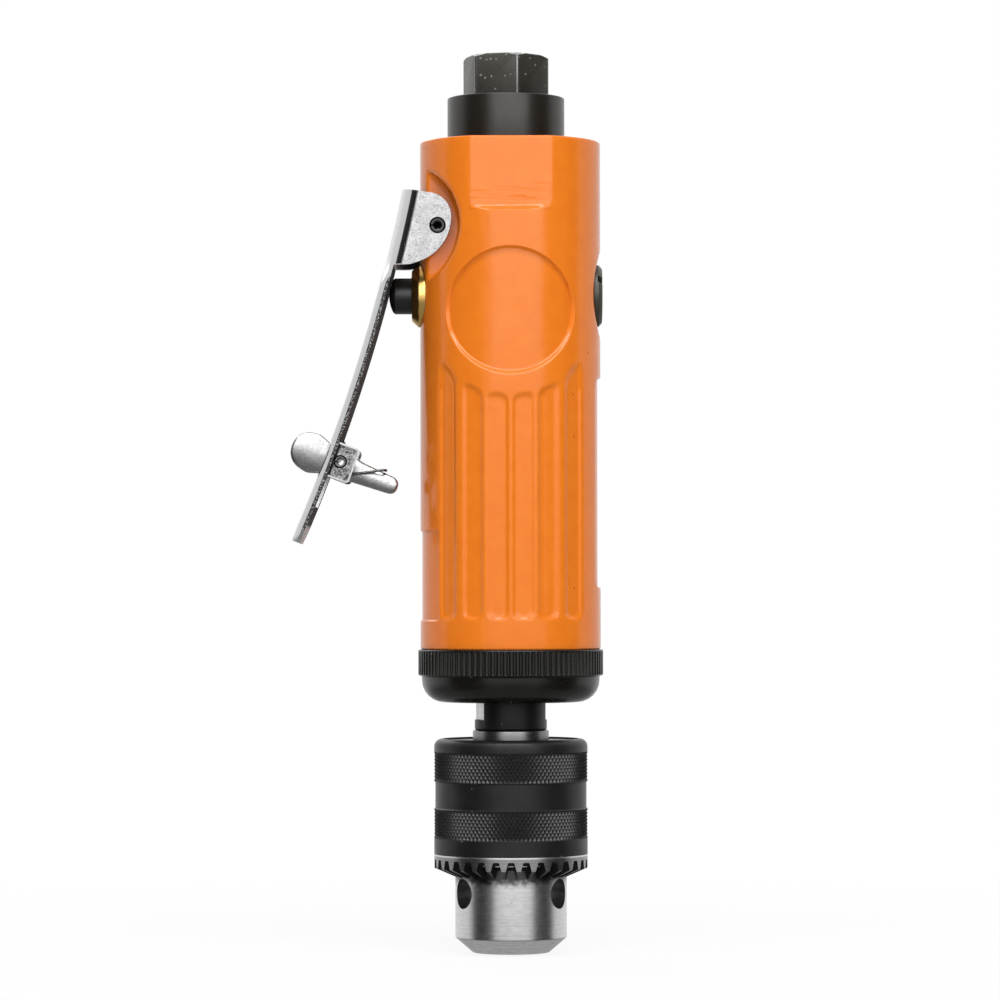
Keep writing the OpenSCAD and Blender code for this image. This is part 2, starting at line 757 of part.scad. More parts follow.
module chuck_body() {
    bore_z = z_hub_top - chuck_thread_l - chuck_thread_room;
    core_r = sleeve_bore_r - running;
    groove_r = jaw_back_r(z_chuck_nut) - chuck_groove_room;
    color("silver")
    scale(chuck_share)
    difference() {
        rotate_extrude() polygon([
            [0, 0], [nose_face_d / 2, 0], [nose_r, nose_chamfer_l], [nose_r, z_chuck_nut - slip],
            [groove_r, z_chuck_nut - slip], [groove_r, z_chuck_nut + chuck_nut_l + slip],
            [core_r, z_chuck_nut + chuck_nut_l + slip], [core_r, z_sleeve_top - core_drop],
            [hub_d / 2, z_sleeve_top - core_drop], [hub_d / 2, z_hub_top], [0, z_hub_top]
        ]);
        rod_z(shank_d, -overrun, shank_l);
        rod_z(chuck_thread_d + 2 * fit, bore_z, z_hub_top + overrun);
        turned(jaw_count, jaw_turn) jaw_rod(jaw_d + 2 * running, -jaw_d, z_jaw_top + jaw_d / 2);
        turned(jaw_count, jaw_turn + jaw_step / 2)
            translate([nose_r - key_hole_l, 0, z_gear_in - key_drop])
                rotate([0, 90, 0]) cylinder(d = key_hole_d, h = key_hole_l + overrun);
    }
}

module chuck_jaw(i) {
    far = 2 * sleeve_r;
    color("dimgray")
    scale(chuck_share)
    rotate([0, 0, jaw_turn + jaw_step * i])
        intersection() {
            jaw_rod(jaw_d, -jaw_d, z_jaw_top + jaw_d);
            translate([0, 0, jaw_inset])
                linear_extrude(jaw_l) polygon([
                    [jaw_grip_r, -(jaw_grip_r - jaw_apex_x) * tan(60)],
                    [far, -(far - jaw_apex_x) * tan(60)],
                    [far, (far - jaw_apex_x) * tan(60)],
                    [jaw_grip_r, (jaw_grip_r - jaw_apex_x) * tan(60)]
                ]);
            rod_z(2 * (sleeve_bore_r - room), 0, z_sleeve_top);
        }
}

module chuck_nut() {
    low = z_chuck_nut;
    high = z_chuck_nut + chuck_nut_l;
    rim = sleeve_bore_r - fit;
    color("gray")
    scale(chuck_share)
    difference() {
        rotate_extrude() polygon([
            [jaw_back_r(low) + jaw_gap, low], [rim, low], [rim, high], [jaw_back_r(high) + jaw_gap, high]
        ]);
        translate([-sleeve_r, -nut_split / 2, low - overrun])
            cube([2 * sleeve_r, nut_split, chuck_nut_l + 2 * overrun]);
    }
}

module gear_gap() {
    slope = atan(gear_slope_l / (sleeve_r - nose_r));
    run = (sleeve_r - nose_r) / cos(slope) + overrun;
    open_w = gear_pitch * gear_gap_open_share;
    root_w = gear_pitch * gear_gap_root_share;
    translate([sleeve_r, 0, z_gear_out])
        rotate([0, -slope, 0])
            translate([-run, 0, 0])
                rotate([90, 0, 90])
                    linear_extrude(run + overrun) polygon([
                        [-open_w / 2, -overrun], [open_w / 2, -overrun],
                        [root_w / 2, gear_gap_depth], [-root_w / 2, gear_gap_depth]
                    ]);
}

module chuck_sleeve() {
    groove_low = z_gear_out + grip_groove_rise;
    edge = min(sleeve_edge_r, sleeve_wall);
    edge_z = z_sleeve_top - edge;
    color("dimgray")
    scale(chuck_share)
    difference() {
        union() {
            rotate_extrude() polygon([
                [nose_r + running, z_gear_in], [sleeve_r, z_gear_out], [sleeve_r, edge_z],
                [sleeve_bore_r, edge_z], [sleeve_bore_r, z_chuck_nut], [nose_r + running, z_chuck_nut]
            ]);
            rotate_extrude() intersection() {
                translate([sleeve_r - edge, edge_z]) circle(r = edge);
                translate([sleeve_bore_r, edge_z]) square([sleeve_wall, edge]);
            }
            ring_z(2 * (sleeve_r - edge), 2 * sleeve_bore_r, edge_z, z_sleeve_top);
        }
        ring_z(
            2 * (sleeve_r + overrun), 2 * (sleeve_r - grip_groove_depth),
            groove_low, groove_low + grip_groove_l
        );
        turned(gear_teeth, 0) gear_gap();
    }
}

// Spindle and reduction
module spindle() {
    z_disc = z_planet - slip - carrier_l;
    color("dimgray")
    difference() {
        union() {
            rod_z(chuck_share * chuck_thread_d, z_chuck_top - chuck_share * chuck_thread_l, z_planet - slip);
            rod_z(flange_d, z_chuck_top, z_flats);
            intersection() {
                rod_z(flange_d, z_flats, z_journal);
                rotate([0, 0, flats_turn])
                    translate([-flats_af / 2, -flange_d, z_flats]) cube([flats_af, 2 * flange_d, flats_l]);
            }
            rod_z(spindle_bearing_bore, z_journal, z_carrier);
            rod_z(carrier_hub_d, z_carrier, z_disc);
            rod_z(carrier_d, z_disc, z_disc + carrier_l);
        }
        turned(planet_count, planet_turn)
            translate([carrier_orbit, 0, z_planet - slip - planet_pin_bite])
                cylinder(d = planet_pin_d + 2 * fit, h = planet_pin_bite + overrun);
    }
}

module planet_pins() {
    color("silver")
    turned(planet_count, planet_turn)
        translate([carrier_orbit, 0, z_planet - slip - planet_pin_bite])
            cylinder(d = planet_pin_d, h = planet_pin_bite + slip + planet_w);
}

module planet_gear(i) {
    color("darkgray")
    rotate([0, 0, planet_turn + 360 * i / planet_count])
        translate([carrier_orbit, 0, z_planet])
            difference() {
                linear_extrude(planet_w) polygon(outside_gear(planet_teeth));
                translate([0, 0, -overrun])
                    cylinder(d = planet_pin_d + 2 * running, h = planet_w + 2 * overrun);
            }
}

module ring_gear() {
    color("darkgray")
    difference() {
        rod_z(bay_d - 2 * fit, z_ring_gear, z_front_plate);
        rotate([0, 0, planet_turn])
            translate([0, 0, z_ring_gear - overrun])
                linear_extrude(ring_gear_l + 2 * overrun) polygon(gear_outline(
                    ring_teeth,
                    gear_module * (ring_teeth / 2 - gear_addendum_share),
                    gear_module * (ring_teeth / 2 + gear_dedendum_share),
                    gear_backlash / 2
                ));
    }
}

module gear_spacer() {
    color("gray")
    ring_z(
        spindle_bearing_od - 2 * fit, spindle_bearing_od - 2 * (fit + spacer_wall),
        z_carrier, z_ring_gear
    );
}

module spindle_bearing_outer() {
    color("gainsboro") outer_race(spindle_bearing_bore, spindle_bearing_od, spindle_bearing_w, z_lip);
}
module spindle_bearing_inner() {
    color("gainsboro") inner_race(spindle_bearing_bore, spindle_bearing_od, spindle_bearing_w, z_lip);
}
module spindle_bearing_balls() {
    color("white") balls(spindle_bearing_bore, spindle_bearing_od, spindle_bearing_w, z_lip);
}

module spindle_seal() {
    color("black") ring_z(spindle_seal_od - 2 * fit, spindle_bearing_bore + 2 * running, z_nut, z_lip);
}

module clamp_nut() {
    dome_r = nut_dome_d / 2;
    arc = min(nut_dome_r, nut_dome_l);
    color("dimgray")
    difference() {
        union() {
            rotate_extrude() union() {
                translate([0, z_nut]) square([dome_r - arc, z_body - z_nut]);
                translate([0, z_nut + arc]) square([dome_r, z_body - z_nut - arc]);
                intersection() {
                    translate([dome_r - arc, z_nut + arc]) circle(r = arc);
                    translate([dome_r - arc, z_nut]) square(arc);
                }
                translate([0, z_nut_ring]) square([nut_d / 2, z_body - z_nut_ring]);
                translate([0, z_nut_ring]) square([nut_thread_d / 2, z_nut_end - z_nut_ring]);
            }
        }
        rod_z(spindle_seal_od, z_nut - overrun, z_body);
        rod_z(spindle_bearing_od, z_lip, z_nut_end + overrun);
    }
}

// Motor
module rotor() {
    slot_h = blade_h + blade_inset + blade_slot_room;
    color("gray")
    union() {
        difference() {
            rod_z(rotor_d, z_cylinder + slip, z_rear_plate - slip);
            turned(blade_count, 0)
                translate([rotor_r - slot_h, -blade_t / 2 - running, z_cylinder])
                    cube([slot_h + overrun, blade_t + 2 * running, cylinder_l]);
        }
        rod_z(motor_bearing_bore, z_front_plate, z_bay_end);
        rod_z(motor_bearing_bore / 2, z_planet, z_bay_end);
        rotate([0, 0, planet_turn])
            translate([0, 0, z_planet])
                linear_extrude(z_front_plate - z_planet) polygon(outside_gear(sun_teeth));
    }
}

module rotor_blades() {
    color("saddlebrown")
    turned(blade_count, 0)
        translate([rotor_r - blade_inset - blade_h, -blade_t / 2, z_cylinder + slip])
            cube([blade_h, blade_t, cylinder_l - 2 * slip]);
}

module dowel(d, z0, z1) {
    rotate([0, 0, dowel_turn]) translate([dowel_orbit, 0, z0]) cylinder(d = d, h = z1 - z0);
}

module exhaust_flat(z0, z1) {
    translate([-bay_r, -exhaust_flat_y - bay_r, z0]) cube([bay_d, bay_r, z1 - z0]);
}

module motor_cylinder() {
    color("silver")
    difference() {
        rod_z(bay_d - 2 * fit, z_cylinder, z_rear_plate);
        translate([bore_offset, 0, z_cylinder - overrun])
            cylinder(r = cylinder_bore_r, h = cylinder_l + 2 * overrun);
        exhaust_flat(z_cylinder - overrun, z_rear_plate + overrun);
        for (i = [1 : exhaust_port_count])
            translate([0, 0, z_cylinder + cylinder_l * i / (exhaust_port_count + 1)])
                rotate([90, 0, 0]) cylinder(d = exhaust_port_d, h = bay_r);
        translate([-plate_port_orbit - plate_port_d / 2, -feed_groove_w / 2, z_rear_plate - feed_groove_l])
            cube([plate_port_orbit, feed_groove_w, feed_groove_l + overrun]);
        dowel(dowel_d + 2 * fit, z_cylinder - overrun, z_rear_plate + overrun);
    }
}

module cylinder_dowel() {
    color("silver") dowel(dowel_d, z_cylinder - dowel_bite, z_rear_plate + dowel_bite);
}

module front_end_plate() {
    color("gray")
    difference() {
        rod_z(bay_d - 2 * fit, z_front_plate, z_cylinder);
        rod_z(motor_bearing_od, z_front_plate - overrun, z_front_plate + motor_bearing_w);
        rod_z(motor_bearing_bore + 2 * shaft_room, z_front_plate, z_cylinder + overrun);
        dowel(dowel_d + 2 * fit, z_cylinder - dowel_bite, z_cylinder + overrun);
    }
}

module rear_end_plate() {
    color("gray")
    difference() {
        rod_z(bay_d - 2 * fit, z_rear_plate, z_bay_end);
        rod_z(motor_bearing_od, z_rear_plate + plate_wall, z_bay_end + overrun);
        rod_z(motor_bearing_bore + 2 * shaft_room, z_rear_plate - overrun, z_bay_end);
        exhaust_flat(z_rear_plate - overrun, z_bay_end + overrun);
        translate([-plate_port_orbit, 0, z_rear_plate - overrun])
            cylinder(d = plate_port_d, h = z_bay_end - z_rear_plate + 2 * overrun);
        dowel(dowel_d + 2 * fit, z_rear_plate - overrun, z_rear_plate + dowel_bite);
    }
}

module front_bearing_outer() {
    color("gainsboro") outer_race(motor_bearing_bore, motor_bearing_od, motor_bearing_w, z_front_plate);
}
module front_bearing_inner() {
    color("gainsboro") inner_race(motor_bearing_bore, motor_bearing_od, motor_bearing_w, z_front_plate);
}
module front_bearing_balls() {
    color("white") balls(motor_bearing_bore, motor_bearing_od, motor_bearing_w, z_front_plate);
}
module rear_bearing_outer() {
    color("gainsboro")
    outer_race(motor_bearing_bore, motor_bearing_od, motor_bearing_w, z_rear_plate + plate_wall);
}
module rear_bearing_inner() {
    color("gainsboro")
    inner_race(motor_bearing_bore, motor_bearing_od, motor_bearing_w, z_rear_plate + plate_wall);
}
module rear_bearing_balls() {
    color("white") balls(motor_bearing_bore, motor_bearing_od, motor_bearing_w, z_rear_plate + plate_wall);
}

// Housing: a skin of the given depth, which the shallow recesses are cut from
module skin(depth) { ring_z(body_d + 2 * overrun, body_d - 2 * depth, z_body, z_top); }

module rounded_outline(w, l, r) {
    translate([-w / 2 + r, 0]) square([w - 2 * r, l]);
    translate([-w / 2, r]) square([w, l - 2 * r]);
    for (x = [-w / 2 + r, w / 2 - r])
        for (y = [r, l - r])
            translate([x, y]) circle(r = r);
}

// An outline cut inwards from outside the housing, seen from the given side
module cut_from(turn) {
    rotate([0, 0, turn])
        rotate([90, 0, 0])
            translate([0, 0, body_r / 2]) linear_extrude(body_r) children();
}

module thumb_cuts() {
    intersection() {
        skin(thumb_depth);
        for (turn = [0, 180])
            cut_from(turn) translate([0, z_valve - thumb_drop]) circle(d = thumb_d);
    }
}

module flute_cuts() {
    z_thumb = z_valve - thumb_drop;
    z_low = z_body + flute_rise;
    difference() {
        intersection() {
            skin(flute_depth);
            for (turn = [0, 180])
                for (angle = [for (a = flute_angles) each [-a, a]])
                    cut_from(turn + angle)
                        translate([0, z_low]) rounded_outline(flute_w, z_thumb - z_low, flute_corner_r);
        }
        for (turn = [0, 180])
            cut_from(turn) translate([0, z_thumb]) circle(r = flute_end_r);
    }
}

module panel_cuts() {
    intersection() {
        skin(lever_panel_depth);
        cut_from(-90) translate([0, z_body + lever_panel_rise])
            rounded_outline(lever_panel_w, lever_panel_l, panel_corner_r);
    }
    intersection() {
        skin(plate_panel_depth);
        cut_from(90) translate([0, z_body + plate_panel_rise])
            rounded_outline(plate_panel_w, plate_panel_l, panel_corner_r);
    }
}

module body_flat_cuts() {
    for (y = [body_flats_af / 2, -body_flats_af / 2 - body_r])
        translate([-body_r, y, z_top - body_flats_l]) cube([body_d, body_r, body_flats_l + overrun]);
}

module lever_pocket_cuts() {
    for (y = [lever_boss_w / 2, -lever_boss_w / 2 - body_r])
        translate([-pivot_x - pocket_out, y + body_r, z_pivot])
            rotate([90, 0, 0]) cylinder(r = pocket_r, h = body_r);
}

module valve_cuts() {
    rod_x(bush_spot_d, -body_d, bush_seat_x);
    rod_x(bush_thread_d + 2 * fit, -body_d, land_x);
    rod_x(land_d, land_x - overrun, seat_x + overrun);
    rod_x(chamber_d + 2 * fit, seat_x, body_d);
    rod_x(chamber_d + 2 * regulator_ring_grip, regulator_neck_x, regulator_neck_x + regulator_ring_l + slip);
    translate([scoop_x, 0, z_valve])
        rotate([0, 90, 0])
            cylinder(d1 = scoop_d, d2 = scoop_d + 2 * body_r * scoop_slope, h = body_r);
}

module air_way_cuts() {
    rod_z(journal_recess_d, z_bay_end - overrun, z_bay_end + journal_recess_l);
    for (turn = [180, 270])
        rotate([0, 0, turn])
            translate([air_pocket_orbit, 0, z_bay_end - overrun])
                cylinder(d = air_pocket_d, h = air_pocket_l + overrun);
    translate([land_x - feed_gap_l / 2, 0, z_bay_end]) cylinder(d = feed_d, h = valve_rise);
    for (turn = exhaust_way_turns)
        rotate([0, 0, turn])
            translate([0, -exhaust_way_orbit, z_bay_end])
                cylinder(d = exhaust_way_d, h = z_top - z_bay_end + overrun);
    at_inlet() rod_z(inlet_thread_d + 2 * fit, z_inlet_seat, z_top + overrun);
    at_inlet() rod_z(inlet_well_d, z_inlet_seat - inlet_well_l, z_inlet_seat + overrun);
    translate([inlet_way_x, 0, z_valve]) cylinder(d = inlet_way_d, h = z_inlet_seat - z_valve);
}

module at_inlet() { translate([-inlet_offset, 0, 0]) children(); }

module motor_housing() {
    color("darkorange")
    difference() {
        rotate_extrude() polygon([
            [0, z_body], [body_r, z_body], [body_r, z_top - body_edge],
            [body_r - body_edge, z_top], [0, z_top]
        ]);
        rod_z(nut_thread_d + 2 * fit, z_body - overrun, z_ring_gear);
        rod_z(bay_d, z_body, z_bay_end);
        air_way_cuts();
        valve_cuts();
        rod_y(pivot_pin_d + 2 * fit, body_d, -pivot_x, z_pivot);
        lever_pocket_cuts();
        body_flat_cuts();
        thumb_cuts();
        flute_cuts();
        panel_cuts();
    }
}

module inlet_bush() {
    far_r = hex_af / sqrt(3) + overrun;
    face_r = hex_af / 2 * hex_face_share;
    color("dimgray")
    at_inlet()
    difference() {
        union() {
            rod_z(inlet_thread_d, z_inlet_bush, z_collar_top + hex_l / 2);
            intersection() {
                rotate([0, 0, hex_turn])
                    translate([0, 0, z_collar_top]) cylinder(d = hex_af * 2 / sqrt(3), h = hex_l, $fn = 6);
                rotate_extrude() polygon([
                    [0, z_collar_top], [far_r, z_collar_top],
                    [far_r, z_inlet - (far_r - face_r) * hex_chamfer_share], [face_r, z_inlet], [0, z_inlet]
                ]);
            }
        }
        rod_z(inlet_bore_d, z_inlet - inlet_bore_l, z_inlet + overrun);
        rod_z(screen_d, z_inlet - inlet_bore_l - screen_l, z_inlet);
        rod_z(inlet_through_d, z_inlet_bush - overrun, z_inlet);
    }
}

module inlet_screen() {
    z = z_inlet - inlet_bore_l - screen_l;
    color("gainsboro")
    at_inlet()
    difference() {
        rod_z(screen_d - 2 * fit, z, z + screen_l);
        turned(6, 0)
            translate([screen_d / 4, 0, z - overrun]) cylinder(d = screen_d / 6, h = screen_l + 2 * overrun);
        rod_z(screen_d / 6, z - overrun, z + screen_l + overrun);
    }
}

module inlet_seal() {
    color("black") at_inlet() ring_z(inlet_thread_d, inlet_well_d, z_inlet_seat, z_inlet_bush);
}

module exhaust_collar() {
    z_roof = z_collar_top - collar_top_l;
    color("dimgray")
    at_inlet()
    difference() {
        rod_z(collar_d, z_top, z_collar_top);
        rod_z(collar_d - 2 * collar_wall, z_top - overrun, z_roof);
        rod_z(inlet_thread_d + 2 * fit, z_top, z_collar_top + overrun);
        turned(collar_hole_count, 0)
            translate([collar_hole_orbit, 0, z_roof - overrun])
                cylinder(d = collar_hole_d, h = collar_top_l + 2 * overrun);
    }
}

module muffler_felt() {
    color("lightgray")
    at_inlet()
    ring_z(
        collar_d - 2 * (collar_wall + running), inlet_thread_d + 2 * running,
        z_top, z_collar_top - collar_top_l
    );
}

// Throttle valve and regulator
module valve_bush() {
    floor_x = bush_end_x - bush_floor_l;
    color("goldenrod")
    difference() {
        union() {
            rod_x(bush_flange_d, bush_seat_x - bush_flange_l, bush_seat_x);
            rod_x(bush_thread_d, bush_seat_x, bush_end_x);
        }
        rod_x(button_d + 2 * running, -body_d, floor_x);
        rod_x(stem_d + 2 * running, floor_x - overrun, bush_end_x + overrun);
        rod_x(bush_seal_d, bush_end_x - bush_seal_l, bush_end_x + overrun);
    }
}

module valve_stem_seal() {
    color("black")
    ring_x(bush_seal_d - 2 * fit, stem_d + 2 * running, bush_end_x - bush_seal_l, bush_end_x);
}

module valve_stem() {
    head_x = seat_x + valve_seal_l;
    color("black")
    union() {
        intersection() {
            rod_x(button_d, button_x, button_end_x);
            translate([button_x + button_dome_r, 0, z_valve]) sphere(r = button_dome_r);
        }
        rod_x(stem_d, button_end_x, head_x + valve_head_l);
        rod_x(valve_head_d, head_x, head_x + valve_head_l);
    }
}

module valve_seal() {
    color("black") ring_x(valve_head_d, stem_d + 2 * fit, seat_x, seat_x + valve_seal_l);
}

module valve_spring() {
    color("silver")
    polyhedron(
        tube_points(valve_path, valve_wire_d / 2, [0, 1, 0]),
        tube_faces(len(valve_path)),
        convexity = 10
    );
}

module regulator() {
    head_x = scoop_x + slip;
    seal_x = regulator_neck_x - regulator_seal_back;
    color("darkslategray")
    difference() {
        union() {
            rod_x(chamber_d - 2 * running, regulator_x, regulator_neck_x - running);
            rod_x(regulator_neck_d, regulator_x, head_x + regulator_l / 2);
            rod_x(regulator_d, head_x, head_x + regulator_l);
        }
        rod_x(chamber_d - 2 * regulator_wall, regulator_x - overrun, regulator_x + regulator_port_l);
        translate([inlet_way_x, 0, z_valve]) cylinder(d = inlet_way_d, h = chamber_d);
        ring_x(
            chamber_d + 2 * overrun, chamber_d - 2 * regulator_seal_d - 4 * fit,
            seal_x - running, seal_x + regulator_seal_d + running
        );
        translate([head_x + regulator_l, 0, z_valve])
            rotate([-regulator_turn, 0, 0])
                cube([2 * regulator_slot_depth, 2 * regulator_d, regulator_slot_w], center = true);
    }
}

module regulator_seal() {
    seal_x = regulator_neck_x - regulator_seal_back;
    color("black")
    translate([seal_x + regulator_seal_d / 2, 0, z_valve])
        rotate([0, 90, 0])
            rotate_extrude()
                translate([chamber_d / 2 - regulator_seal_d / 2 - fit, 0]) circle(d = regulator_seal_d);
}

module regulator_ring() {
    color("silver")
    difference() {
        ring_x(
            chamber_d + 2 * regulator_ring_grip - 2 * fit, regulator_neck_d + 2 * running,
            regulator_neck_x, regulator_neck_x + regulator_ring_l
        );
        translate([regulator_neck_x - overrun, -regulator_ring_gap / 2, z_valve])
            cube([regulator_ring_l + 2 * overrun, regulator_ring_gap, chamber_d]);
    }
}

// Throttle lever and lock-off
module lever_web_outline() {
    far = 2 * lever_in_r;
    translate([lever_cx, lever_cz])
        intersection() {
            difference() {
                circle(r = lever_in_r, $fn = lever_bow_fn);
                circle(r = lever_bow_r, $fn = lever_bow_fn);
            }
            polygon([[0, 0], polar(far, -lever_end), polar(far, -lever_lean)]);
        }
}

module ear_outline() {
    low = [lever_x(z_ear_low, lever_mid_r), z_ear_low];
    top = ear_z + ear_r;
    from = low - [ear_x, ear_z];
    touch = [ear_x, ear_z] + polar(ear_r, atan2(from[1], from[0]) + acos(ear_r / norm(from)));
    translate([ear_x, ear_z]) circle(r = ear_r);
    polygon([low, touch, [ear_x, ear_z], [ear_x, top], [lever_x(top, lever_mid_r), top]]);
}

// Turns an outline drawn in the lock-off's own frame to where it lies on the lever
module at_lock() { translate([lock_x, lock_z]) rotate(-lock_lean) children(); }

module tab_outline() {
    reach = tab_reach - tab_corner_r;
    at_lock() {
        translate([-lock_inset - lever_t / 2, -tab_half])
            square([lock_inset + lever_t / 2 + reach, 2 * tab_half]);
        translate([0, -tab_half + tab_corner_r])
            square([tab_reach, 2 * (tab_half - tab_corner_r)]);
        for (y = [-tab_half + tab_corner_r, tab_half - tab_corner_r])
            translate([reach, y]) circle(r = tab_corner_r);
    }
}

module throttle_lever() {
    ear_y = (lever_inner_w + lever_t) / 2;
    tab_y = (lock_slot_w + lever_t) / 2;
    slot_reach = lock_inset + 2 * lever_t;
    color("silver")
    difference() {
        union() {
            difference() {
                plate_y(lever_w) lever_web_outline();
                plate_y(lock_slot_w) at_lock()
                    translate([-slot_reach, -lock_slot_low])
                        square([slot_reach, lock_slot_low + lock_slot_top]);
            }
            for (side = [-1, 1]) {
                translate([0, side * ear_y, 0]) plate_y(lever_t) ear_outline();
                translate([0, side * tab_y, 0]) plate_y(lever_t) tab_outline();
            }
        }
        rod_y(pivot_pin_d + 2 * running, 2 * lever_w, -pivot_x, z_pivot);
        rod_y(lock_pin_d + 2 * fit, 2 * lever_w, lock_x, lock_z);
    }
}

module roll_pin(d, l, x, z) {
    difference() {
        rod_y(d, l, x, z);
        rod_y(d * pin_hollow_share, l + 2 * overrun, x, z);
    }
}

module lever_pivot_pin() { color("black") roll_pin(pivot_pin_d, lever_w, -pivot_x, z_pivot); }

module lock_off_pin() { color("black") roll_pin(lock_pin_d, lock_slot_w + 2 * lever_t, lock_x, lock_z); }

module lock_off_outline() {
    at_lock() {
        circle(r = lock_hub_r);
        translate([-lobe_out, -lobe_drop]) circle(r = lobe_r);
        translate([-lobe_out, -neck_low]) square([lobe_out, neck_low + lock_slot_top - room - slip]);
        polygon([
            [0, finger_root_top], [finger_l, finger_tip_top],
            [finger_l, -finger_tip_low], [0, -finger_root_low]
        ]);
    }
}

module lock_off() {
    hub_l = lock_slot_w / 2 - slip + lock_w / 2;
    color("silver")
    difference() {
        union() {
            plate_y(lock_w) lock_off_outline();
            translate([0, hub_l / 2 - lock_w / 2, 0]) rod_y(2 * lock_hub_r, hub_l, lock_x, lock_z);
        }
        rod_y(lock_pin_d + 2 * running, 2 * lever_w, lock_x, lock_z);
    }
}

module lock_off_spring() {
    color("black")
    translate([lock_x, 0, lock_z])
        polyhedron(
            tube_points(lock_path, lock_wire_d / 2, [0, 1, 0]),
            tube_faces(len(lock_path)),
            convexity = 10
        );
}

motor_housing();
inlet_bush();
inlet_screen();
inlet_seal();
exhaust_collar();
muffler_felt();
valve_bush();
valve_stem_seal();
valve_spring();
regulator_ring();
lever_pivot_pin();
rear_end_plate();
rear_bearing_outer();
motor_cylinder();
cylinder_dowel();
front_end_plate();
front_bearing_outer();
ring_gear();
gear_spacer();
spindle_bearing_outer();
clamp_nut();
spindle_seal();
rotor();
rotor_blades();
rear_bearing_inner();
rear_bearing_balls();
front_bearing_inner();
front_bearing_balls();
spindle();
planet_pins();
spindle_bearing_inner();
spindle_bearing_balls();
chuck_body();
planet_gear(0);  // planet_gear_1
planet_gear(1);  // planet_gear_2
planet_gear(2);  // planet_gear_3
chuck_sleeve();
chuck_nut();
chuck_jaw(0);  // chuck_jaw_1
chuck_jaw(1);  // chuck_jaw_2
chuck_jaw(2);  // chuck_jaw_3
throttle_lever();
lock_off_pin();
lock_off_spring();
lock_off();
valve_stem();
valve_seal();
regulator();
regulator_seal();
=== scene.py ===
# %% [markdown]
# # An inline air drill
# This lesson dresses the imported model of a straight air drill: an orange cast housing, a plated lever
# throttle, a fluted clamp nut and a keyed chuck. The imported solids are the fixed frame, in metres. Each
# piece below is modelled in millimetres, because Blender's operators round less at that size, and is
# brought to metres when it is hung on its body.

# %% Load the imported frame
import json
import math

import bmesh
import bpy
import numpy as np
from mathutils import Matrix, Quaternion, Vector

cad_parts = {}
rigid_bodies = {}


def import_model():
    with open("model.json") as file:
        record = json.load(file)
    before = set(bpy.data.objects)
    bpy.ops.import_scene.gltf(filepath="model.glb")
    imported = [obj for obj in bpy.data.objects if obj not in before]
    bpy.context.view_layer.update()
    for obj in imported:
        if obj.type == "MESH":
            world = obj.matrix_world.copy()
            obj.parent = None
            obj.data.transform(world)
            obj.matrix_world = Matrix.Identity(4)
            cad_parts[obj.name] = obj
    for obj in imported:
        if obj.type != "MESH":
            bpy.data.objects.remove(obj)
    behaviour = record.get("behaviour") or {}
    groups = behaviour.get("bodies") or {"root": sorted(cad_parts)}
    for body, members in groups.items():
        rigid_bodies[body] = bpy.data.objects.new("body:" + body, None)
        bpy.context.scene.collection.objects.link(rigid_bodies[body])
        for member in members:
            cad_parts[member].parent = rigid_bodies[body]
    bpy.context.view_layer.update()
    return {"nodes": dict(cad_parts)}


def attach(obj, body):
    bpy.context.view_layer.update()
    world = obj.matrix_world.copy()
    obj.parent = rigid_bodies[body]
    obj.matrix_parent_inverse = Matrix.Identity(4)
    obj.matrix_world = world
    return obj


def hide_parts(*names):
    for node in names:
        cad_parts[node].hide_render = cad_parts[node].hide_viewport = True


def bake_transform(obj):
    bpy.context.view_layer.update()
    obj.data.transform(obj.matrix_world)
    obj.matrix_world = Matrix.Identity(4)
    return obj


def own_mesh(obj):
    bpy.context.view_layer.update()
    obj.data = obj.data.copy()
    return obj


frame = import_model()
MM = 0.001

# %% [markdown]
# ## Camera
# The photograph looks almost level at the tool's front, with the lever on the left, from about a metre
# away and a little below the tool's middle. A long lens at that distance gives the same nearly parallel
# edges. The lens follows from the height of the frame at the tool's axis, so the tool fills the picture
# as it does in the photograph.

# %% Set up the camera
EYE_DISTANCE = 960
EYE_HEIGHT = 78
AIM_X = -2.33
AIM_HEIGHT = 100.1
HALF_FRAME = 111.0
CAMERA_ROLL = -0.08

scene = bpy.context.scene
eye = Vector((AIM_X, -EYE_DISTANCE, EYE_HEIGHT)) * MM
aim = Vector((AIM_X, 0, AIM_HEIGHT)) * MM
camera_data = bpy.data.cameras.new("camera")
camera_data.lens = camera_data.sensor_width / 2 * EYE_DISTANCE / HALF_FRAME
camera = bpy.data.objects.new("camera", camera_data)
scene.collection.objects.link(camera)
camera.location = eye
camera.rotation_mode = "QUATERNION"
roll = Quaternion((0, 0, 1), math.radians(CAMERA_ROLL))
camera.rotation_quaternion = (aim - eye).to_track_quat("-Z", "Y") @ roll
scene.camera = camera
print("lens in mm:", round(camera_data.lens, 1))

# %% [markdown]
# ## Nodes written as expressions
# A material is a tree of nodes. Written out link by link it is hard to read, so two small classes help:
# `Wire` stands for one socket, and arithmetic on it adds Math nodes; `Nodes` makes any other node from
# its type, its settings and what goes into its sockets.

# %% Sockets and node trees
class Wire:
    """One value in a node tree; arithmetic on it adds Math nodes."""

    def __init__(self, nodes, socket):
        self.nodes = nodes
        self.socket = socket

    def math(self, operation, first, second=0.0):
        return self.nodes.node("ShaderNodeMath", {"operation": operation}, {0: first, 1: second})

    def __abs__(self):
        return self.math("ABSOLUTE", self)

    def ramp(self, low, high):
        """0 below low, 1 above high, and smooth between them."""
        return self.nodes.node(
            "ShaderNodeMapRange",
            {"interpolation_type": "SMOOTHSTEP"},
            {"Value": self, "From Min": low, "From Max": high},
        )


